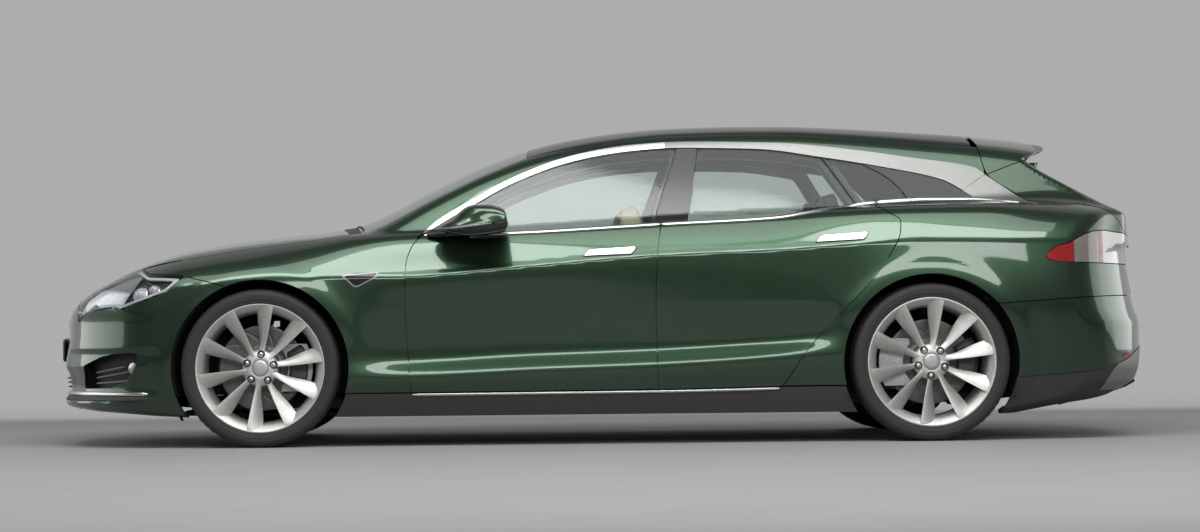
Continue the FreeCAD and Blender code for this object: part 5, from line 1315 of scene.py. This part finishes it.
for k, y in enumerate((-.32, -.16, 0, .16, .32)):
    fin = swept(smooth_path([(2.1, y, .158), (2.25, y, .196), (2.4, y, .235), (2.452, y, .262)], 16), .005,
                .022, 4.0)
    loops(f"diffuser_fin_{k}", fin, dark_plastic, "body")
REFLECTOR = outline([(2.318, .362), (2.352, .384), (2.372, .388), (2.366, .37), (2.34, .352)])
both("rear_reflector_SIDE", patch(REFLECTOR, .003), .004, red_lens, "body", lift=.0035)

# ---------------------------------------------------------------------------- chassis
# Under the floor lies the flat battery case, with steel subframes, cast drive units and arms round it. The
# floor is carpeted, the arches lined with felt.
carpet = finish("floor_carpet", (.06, .056, .05), .95, cells=(500.0, .35), relief=(900.0, .002), sheen=.3)
battery_case = finish("battery_case", (.1, .1, .1), .5, metallic=.6, cells=(60.0, .2), relief=(90.0, .0008))
cast_metal = finish("cast_aluminium", (.36, .36, .36), .45, metallic=.9, cells=(120.0, .15),
                    relief=(260.0, .001))
black_steel = finish("coated_steel", (.035, .035, .037), .45, metallic=.4, cells=(90.0, .2),
                     relief=(200.0, .0006))
for material, nodes in ((carpet, ("floor_pan",)), (battery_case, ("battery_pack",)),
                        (dark_plastic, ("front_undertray",)),
                        (cast_metal, ("drive_units", "rear_knuckles", "front_knuckle_left",
                                      "front_knuckle_right")),
                        (black_steel, ("subframes", "suspension", "firewall")),
                        (liner, ("front_arch_liners",))):
    for node in nodes:
        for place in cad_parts[node].material_slots:
            place.material = material

# ---------------------------------------------------------------------------- door frames and linings
# Inside the skins the doors are boxes of pressed metal with moulded trims and padded armrests. The body
# side behind them is one frame with two openings, painted below the belt line and black above it, lined in
# cloth towards the cabin.
trim_tan = finish("tan_trim", (.3, .25, .185), .62, cells=(180.0, .08), relief=(700.0, .0008), sheen=.2)
lining = finish("headliner_cloth", (.4, .36, .3), .9, cells=(400.0, .12), relief=(900.0, .001), sheen=.3)
leather = finish("cream_leather", (.42, .355, .265), .48, cells=(120.0, .07), relief=(420.0, .0012), gloss=.2)
dark_leather = finish("dark_leather", (.03, .028, .027), .5, cells=(120.0, .15), relief=(420.0, .0012),
                      gloss=.2)
INNER = .048                # how far the door boxes stand back from the skins' edges
ARMRESTS = [[(-.6, -.855, .64), (-.4, -.845, .665), (-.1, -.842, .69), (.08, -.85, .7)],
            [(.42, -.845, .69), (.6, -.84, .705), (.85, -.842, .715), (.98, -.85, .72)]]
swell = np.sin(np.linspace(.25, np.pi - .25, 30)) ** .4
for (door, cuts), rest in zip(DOORS.items(), ARMRESTS):
    inner_sheet = door_skin(*cuts, INNER)
    grip = smooth_path([(x, y + .018, z + .085 + .02 * k) for k, (x, y, z) in enumerate(rest[1:3])], 24)
    both(door + "_box", inner_sheet, .048, paint, door, lift=-DOOR_SKIN)
    both(door + "_trim", inner_sheet, .034, trim_tan, door, lift=-DOOR_SKIN - .0485)
    pair(door + "_armrest", swept(smooth_path(rest, 30), .034 * swell, .022 * swell, 3.0), dark_leather, door)
    pair(door + "_grip", swept(grip, .007, .01), satin, door)

PILLAR_FRONT = [(.2, .19), (.95, .21), (1.315, .318), (1.4, .345)]
PILLAR_BACK = [(.2, .27), (.95, .306), (1.315, .45), (1.4, .48)]
OPENING_INSET = .034


def outside_openings(p):
    """A limit that keeps the body side's frame: how far a point lies inside either door opening, between
    the pillars, the roof rail, the sill and the doors' cuts."""
    x, _, z = p.T
    low = along(SILL_CUT, x) + OPENING_INSET - z
    high = z - along(GLASS_TOP, x) + .008
    rear_edge = np.minimum(along(REAR_CUT, z) - OPENING_INSET, along(QUARTER_BAR, np.maximum(z, .95)) - .016)
    front = np.maximum.reduce([along(FRONT_CUT, z) + OPENING_INSET - x, x - along(PILLAR_FRONT, z), low,
                               high])
    rear = np.maximum.reduce([along(PILLAR_BACK, z) - x, x - rear_edge, low, high])
    return -np.minimum(front, rear)


def frame_rear(z):
    """The rear edge of the door openings, straight below the quarter window."""
    return np.minimum(along(REAR_CUT, z), along(QUARTER_BAR, np.maximum(z, .95)))


frame_sheet = trim(skin(rays_left(np.arange(-.94, 1.42, .028), np.arange(.232, 1.37, .014))),
                   outside_openings,
                   lambda p: p[:, 2] - along(GLASS_TOP, p[:, 0]) - .03,
                   lambda p: p[:, 0] - frame_rear(p[:, 2]) - .055)
both("door_frame_SIDE", trim(frame_sheet, under(BELT, .01)), .044, paint, "body", lift=-.0315)
both("window_frame_SIDE", trim(frame_sheet, over(BELT, -.01)), .044, dark_plastic, "body", lift=-.0315)
both("frame_lining_SIDE", frame_sheet, .005, lining, "body", lift=-.0765)
both("rail_lining_SIDE", trim(rail, lambda p: -.95 - p[:, 0]), .004, lining, "body", lift=-.0315)

# ---------------------------------------------------------------------------- load space and lids
# Moulded trims line the tailgate, the load space and its sill. The hood has a pressed inner panel, and
# under it a cover round the front trunk's deep tub.
gate_inner = trim(gate_sheet, lambda p: -in_window(p, .012), lambda p: .66 - p[:, 2])
panel("tailgate_trim", gate_inner, .01, dark_plastic, "tailgate", lift=-.0285)
panel("tailgate_sill", trim(gate_sheet, lambda p: p[:, 2] - .715, lambda p: 1.9 - p[:, 0]), .04,
      dark_plastic, "body",
      lift=-.046)
load_side = trim(quarter, lambda p: .65 - p[:, 2], lambda p: 1.24 - p[:, 0], lambda p: p[:, 0] - 2.22)
both("load_side_SIDE", load_side, .005, carpet, "body", lift=-.042)
hood_inner = trim(skin(rays_up(np.arange(-2.36, -1.14, .028), np.linspace(-.79, .79, 58))),
                  lambda p: off_hood(p, .045))
panel("hood_inner", hood_inner, .01, black_steel, "hood", lift=-.0265)
TUB = (-1.755, .252, .388)


def in_tub(p, grow=0.0):
    """Superellipse round the tub: fourth root of the sum of fourth powers, less one, scaled to metres."""
    along_tub, across_tub = (p[:, 0] - TUB[0]) / (TUB[1] + grow), p[:, 1] / (TUB[2] + grow)
    return ((along_tub ** 4 + across_tub ** 4) ** .25 - 1) * TUB[1]


cover = trim(skin(rays_up(np.arange(-2.28, -1.15, .028), np.linspace(-.76, .76, 56))),
             lambda p: off_hood(p, .05),
             lambda p: -in_tub(p, .004))
panel("front_trunk_cover", cover, .004, dark_plastic, "body", lift=-.088)
u, v = superellipse(72, 4.0)
deep = np.concatenate([np.linspace(1.0, 0, 10), np.linspace(0, .985, 10)])[:, None]
wall = np.concatenate([np.zeros(10), np.full(10, .005)])[:, None]
taper = .86 + .14 * (1 - deep) ** .6
tub_x, tub_y = TUB[0] + (TUB[1] * taper - wall) * u, (TUB[2] * taper - wall) * v
rim_z = bonnet_z(tub_x, tub_y) - .094
loops("front_trunk_liner", np.stack([tub_x, tub_y, rim_z + (.54 + wall - rim_z) * deep], -1), carpet, "body",
      ("front_trunk_tub",))

# ---------------------------------------------------------------------------- seats
# Leather seats over foam: each cushion is crowned, with raised side bolsters, sewn channels across the
# middle and piped seams. Head restraints and the backs' shells are dark.
def pad(half, power=4.5, edge=5.0, relief=None, around=84, steps=23):
    """A crowned pad: superellipse rings of size k grow and shrink again, at height plus or minus (1 - k to
    the edge power) to its root. A relief is added to the upper face."""
    k = np.sin(np.linspace(.02, np.pi / 2, steps))
    k = np.concatenate([k, k[::-1]])[:, None]
    side = np.repeat([1, -1], steps)[:, None]
    w = (1 - np.minimum(k, 1) ** edge) ** (1 / edge) * side
    u, v = superellipse(around, power)
    x, y, z = np.broadcast_arrays(half[0] * k * u, half[1] * k * v, half[2] * w)
    crown = .12 * half[2] * (1 - (x / half[0]) ** 2) * (1 - (y / half[1]) ** 2) * (z > 0)
    z = z + crown + (relief(x, y) * np.clip(z / half[2], 0, 1) if relief else 0)
    return np.stack([x, y, z], -1)


def placed(points, centre, pitch):
    """Turned about the car's cross axis by the pitch in degrees, nose up, and moved to its place."""
    c, s = np.cos(np.radians(pitch)), np.sin(np.radians(pitch))
    x, y, z = np.moveaxis(points, -1, 0)
    return np.stack([x * c + z * s, y, -x * s + z * c], -1) + np.array(centre)


def seam(distance, width):
    """The share of a groove's depth at a distance from its middle: e to the minus square of distance over
    width."""
    return np.exp(-(distance / width) ** 2)


def channels(x, reach, pitch=.088):
    """Grooves across a pad, one every pitch, as far from the middle as the reach."""
    return seam(np.mod(x + pitch / 2, pitch) - pitch / 2, .0055) * (np.abs(x) < reach)


def sewn(half):
    """Relief of a sewn pad: bolsters rise past the side seams, and narrow grooves follow the seams and
    channels."""
    def relief(x, y):
        past_seam = np.abs(y) - .62 * half[1]
        return (.026 * rise(past_seam - .03, .014) - .009 * seam(past_seam, .005)
                - .007 * channels(x, .8 * half[0]) * rise(-past_seam, .004))
    return relief


def soft_piece(name, rings, material, replaces=()):
    """A pad that rides on the body."""
    loops(name, rings, material, "body", replaces, angle=80)


for side, y in (("left", -.375), ("right", .375)):
    half = (.262, .24, .068)
    soft_piece(f"front_cushion_{side}", placed(pad(half, relief=sewn(half)), (-.112, y, .452), -5), leather,
               ("front_seats",) if side == "left" else ())
    half = (.3, .228, .052)
    soft_piece(f"front_backrest_{side}", placed(pad(half, relief=sewn(half)), (.205, y, .775), -107), leather)
    soft_piece(f"front_headrest_{side}", placed(pad((.08, .128, .04)), (.338, y, 1.128), -100), dark_leather)
    shell = slab((.262, y, .76), (.222, .285), .03, lean=17, corner=.012)
    loops(f"front_seat_shell_{side}", shell, dark_plastic, "body")
    base = slab((-.1, y, .326), (.2, .235), .12, lean=90, corner=.02)
    loops(f"front_seat_base_{side}", base, dark_plastic, "body")
    for k in (-.045, .045):
        post = swept(smooth_path([(.292, y + k, 1.02), (.318, y + k, 1.09)], 6), .006, .006)
        loops(f"front_headrest_post_{side}_{int(k > 0)}", post, satin, "body")


def bench(half):
    """Relief of the bench: three places parted by two long seams, each with channels across."""
    def relief(x, y):
        return (-.01 * seam(np.abs(y) - .21, .006) - .006 * np.cos(np.clip(y / .62, -1, 1) * 3 * np.pi)
                - .006 * channels(x, .8 * half[0]) * rise(.56 - np.abs(y), .006))
    return relief


for name, half, place, pitch, replaces in (
        ("rear_cushion", (.262, .615, .078), (.672, 0, .44), -6, ("rear_seat",)),
        ("rear_backrest", (.29, .61, .055), (.945, 0, .735), -112, ())):
    bench_pad = pad(half, 7.0, relief=bench(half), around=140)
    soft_piece(name, placed(bench_pad, place, pitch), leather, replaces)
for k, y in enumerate((-.41, 0, .41)):
    soft_piece(f"rear_headrest_{k}", placed(pad((.055, .115, .034)), (1.048, y, 1.058), -104), dark_leather)
loops("rear_seat_base", slab((.68, 0, .318), (.6, .235), .105, lean=90, corner=.02), dark_plastic, "body")
loops("rear_seat_shell", slab((1.005, 0, .72), (.6, .29), .026, lean=22, corner=.012), carpet, "body")

# ---------------------------------------------------------------------------- dashboard and console
# The dashboard is a padded moulding across the cabin with a satin inlay, an upright screen in its middle
# and a hooded display before the driver. The console between the seats carries an armrest and two cup
# wells.
screen_glass = finish("dark_display", (.012, .014, .018), .1, cells=(20.0, .2), specular=.6)
PROFILE = np.array([(-1.06, .7), (-1.06, .862), (-1.02, .882), (-.94, .893), (-.85, .897), (-.77, .895),
                    (-.715, .884), (-.692, .866), (-.69, .846), (-.712, .832), (-.722, .8), (-.716, .755),
                    (-.735, .705), (-.79, .662), (-.88, .648), (-1.000, .65)])
y = np.linspace(-.676, .676, 72)[:, None]
hooded = np.exp(-((y + .375) / .135) ** 4)
top_face = np.clip((PROFILE[:, 1] - .84) / .05, 0, 1)[None, :]
dash_x = PROFILE[:, 0] + .018 * hooded * top_face * (PROFILE[:, 0] > -.8) + .012 * (y / .676) ** 2
dash_z = PROFILE[:, 1] + .022 * hooded * top_face - .02 * (y / .676) ** 4 * top_face
dash = np.stack(np.broadcast_arrays(dash_x, y, dash_z), -1)
loops("dashboard_pad", dash, dark_leather, "body", ("dashboard",))
inlay = smooth_path([(-.697, -.66, .806), (-.708, -.3, .812), (-.708, .3, .812), (-.697, .66, .806)], 50)
loops("dashboard_inlay", swept(inlay, .008, .017, 4.0), satin, "body")
for name, material, plate in (
        ("centre_screen", black_gloss, slab((-.703, 0, .775), (.098, .122), .012, -10, .004, 14)),
        ("centre_screen_glass", screen_glass, slab((-.6955, 0, .775), (.092, .115), .003, -10, .001, 18)),
        ("driver_display", screen_glass, slab((-.7035, -.375, .862), (.135, .03), .008, -10, .003, 8))):
    loops(name, plate, material, "body")
for k, y0 in enumerate((-.6, .5, -.17, .17)):
    loops(f"air_vent_{k}", slab((-.694, y0, .858), (.04, .013), .012, corner=.003, power=6), black_gloss,
          "body")
console_path = [(-.8, 0, .48), (-.6, 0, .43), (-.3, 0, .415), (.02, 0, .41), (.07, 0, .405)]
s = np.linspace(0, 1, 50)
console = swept(smooth_path(console_path, 50), along([(0, .085), (.3, .1), (.9, .1), (1, .085)], s),
                along([(0, .12), (.3, .14), (.9, .142), (1, .12)], s), 5.0, 40)
loops("console_body", console, dark_plastic, "body", ("console",))
armrest = placed(pad((.165, .088, .026), around=48), (-.1, 0, .575), 0)
soft_piece("console_armrest", armrest, dark_leather)
cup_ring = lathed([(.034, 0), (.04, 0), (.04, .008), (.034, .008)], (0, 0, 0), 40)[..., [0, 2, 1]]
for k, x0 in enumerate((-.36, -.45)):
    loops(f"cup_ring_{k}", cup_ring + np.array([x0, 0, .562]), satin, "body", caps=False)

# ---------------------------------------------------------------------------- steering wheel
# A leather rim on three satin spokes round a padded boss, on a column that rises towards the driver.
RAKE = np.radians(25)
centre = np.array([-.56, -.375, .88])
axle, rim_up = np.array([np.cos(RAKE), 0, np.sin(RAKE)]), np.array([-np.sin(RAKE), 0, np.cos(RAKE)])
t = np.linspace(0, 2 * np.pi, 97)[:, None]
e = np.linspace(0, 2 * np.pi, 18, endpoint=False)[None, :]
r = .1785 + .0145 * np.cos(e)
ring = (centre + (r * np.sin(t))[..., None] * np.array([0, 1, 0]) + (r * np.cos(t))[..., None] * rim_up
        + (.0165 * np.sin(e) + 0 * t)[..., None] * axle)
loops("steering_rim", ring, dark_leather, "steering_wheel", ("steering_wheel",), caps=False, angle=80)
boss = slab(centre - axle * .012, (.07, .058), .036, lean=-25, corner=.014, power=3.5)
loops("steering_boss", boss, dark_leather, "steering_wheel")
for k, a in enumerate(np.radians([90, 270, 180])):
    out = np.array([0, np.sin(a), 0]) + rim_up * np.cos(a)
    spoke = smooth_path([centre + out * .045 - axle * .014, centre + out * .11 - axle * .01,
                         centre + out * .172], 14)
    loops(f"steering_spoke_{k}", swept(spoke, .007, .016, 4.0, lean=axle), satin, "steering_wheel")
column = swept(smooth_path([centre - axle * .16, centre - axle * .02], 12), .034, .034, 3.0)
loops("steering_column", column, dark_plastic, "body")

# ---------------------------------------------------------------------------- studio
# A pale floor that curves up into the backdrop, long soft boxes over the near side, two at the ends, and a
# soft world.
camera = bpy.data.objects.new("camera", bpy.data.cameras.new("camera"))
bpy.context.collection.objects.link(camera)
camera.data.lens, camera.data.sensor_width = 96.0, 36.0
CAMERA_TURN, CAMERA_TILT, CAMERA_ROLL = .02723, .01874, -.00955
camera.location = (-.408, -15.037, .5215)
camera.rotation_mode = "XYZ"
camera.rotation_euler = (np.pi / 2 + CAMERA_TILT, -CAMERA_ROLL, -CAMERA_TURN)
camera.data.clip_end = 200
bpy.context.scene.camera = camera

across = np.linspace(-30, 30, 25)
run = np.concatenate([np.linspace(-24, 4.2, 12), 4.2 + 1.3 * np.sin(np.linspace(.1, np.pi / 2, 12)),
                      np.full(4, 5.5)])
climb = np.concatenate([np.zeros(12), 1.3 - 1.3 * np.cos(np.linspace(.1, np.pi / 2, 12)),
                        np.linspace(3, 16, 4)])
grid = np.stack(np.broadcast_arrays(across[None, :], run[:, None], climb[:, None]), -1).reshape(-1, 3)
floor_mesh = bpy.data.meshes.new("studio_floor")
floor_mesh.from_pydata(grid, [], grid_faces(len(run), len(across)))
floor_mesh.shade_smooth()
floor = bpy.data.objects.new("studio_floor", floor_mesh)
bpy.context.collection.objects.link(floor)
studio_grey = finish("studio_grey", (.3, .3, .3), .6, cells=(2.0, .02), specular=.2)
floor_mesh.materials.append(studio_grey)
nodes, links = studio_grey.node_tree.nodes, studio_grey.node_tree.links


def studio_node(kind, *inputs):
    """A shader node whose first inputs are joined to the given sockets."""
    node = nodes.new("ShaderNode" + kind)
    for value, socket in zip(inputs, node.inputs):
        links.new(value, socket)
    return node


def combined(operation, first, second):
    """The socket of two values joined by an operation."""
    node = studio_node("Math", first, second)
    node.operation = operation
    return node.outputs[0]


# the backdrop's own grey, seen directly, in reflections and through glass, comes in where the floor starts
# to rise
rays, glow = studio_node("LightPath"), studio_node("Emission")
glow.inputs["Color"].default_value = (1, 1, 1, 1)
glow.inputs["Strength"].default_value = .42
place = studio_node("SeparateXYZ", studio_node("TexCoord").outputs["Object"])
level = studio_node("MapRange", place.outputs["Y"])
level.interpolation_type = "SMOOTHSTEP"
for name, value in (("From Min", 3.2), ("From Max", 4.8), ("To Min", 0), ("To Max", 1)):
    level.inputs[name].default_value = value
seen = combined("MAXIMUM", rays.outputs["Is Camera Ray"], rays.outputs["Is Glossy Ray"])
seen = combined("MAXIMUM", seen, rays.outputs["Is Transmission Ray"])
share = combined("MULTIPLY", seen, level.outputs["Result"])
sheet = studio_node("MixShader", share, nodes["Principled BSDF"].outputs[0], glow.outputs[0])
# from behind and below the sheet is see-through, so it never stands before the car
back = studio_node("NewGeometry").outputs["Backfacing"]
sheet = studio_node("MixShader", back, sheet.outputs[0], studio_node("BsdfTransparent").outputs[0])
links.new(sheet.outputs[0], nodes["Material Output"].inputs["Surface"])


def soft_box(name, place, aim, size, power):
    """A rectangular lamp at a place, turned to face the aim."""
    light = bpy.data.lights.new(name, "AREA")
    light.shape, light.size, light.size_y, light.energy = "RECTANGLE", *size, power
    lamp = bpy.data.objects.new(name, light)
    bpy.context.collection.objects.link(lamp)
    lamp.location = place
    away = np.array(place, float) - aim
    lamp.rotation_euler = (np.arctan2(np.hypot(*away[:2]), away[2]), 0,
                           np.arctan2(away[1], away[0]) + np.pi / 2)


soft_box("key_box", (0, -5.0, 6.0), (0, 0, .8), (9, 1.6), 400)
soft_box("low_box", (.8, -7.6, 2.7), (.8, 0, .4), (7.4, 1.0), 170)
soft_box("top_box", (0, -3.1, 6.8), (0, 0, 1.0), (9, 2.3), 170)
soft_box("front_box", (-7.6, .7, 2.0), (-2, 0, .4), (6.6, 4.0), 130)
soft_box("rear_box", (7.6, 1.3, 1.8), (2, 0, .7), (6.0, 3.2), 95)
world = bpy.data.worlds.new("studio")
bpy.context.scene.world = world
world.use_nodes = True
sky = world.node_tree.nodes["Background"].inputs
sky["Color"].default_value = (.78, .79, .8, 1)
sky["Strength"].default_value = .25
bpy.context.scene.view_settings.view_transform = "Standard"
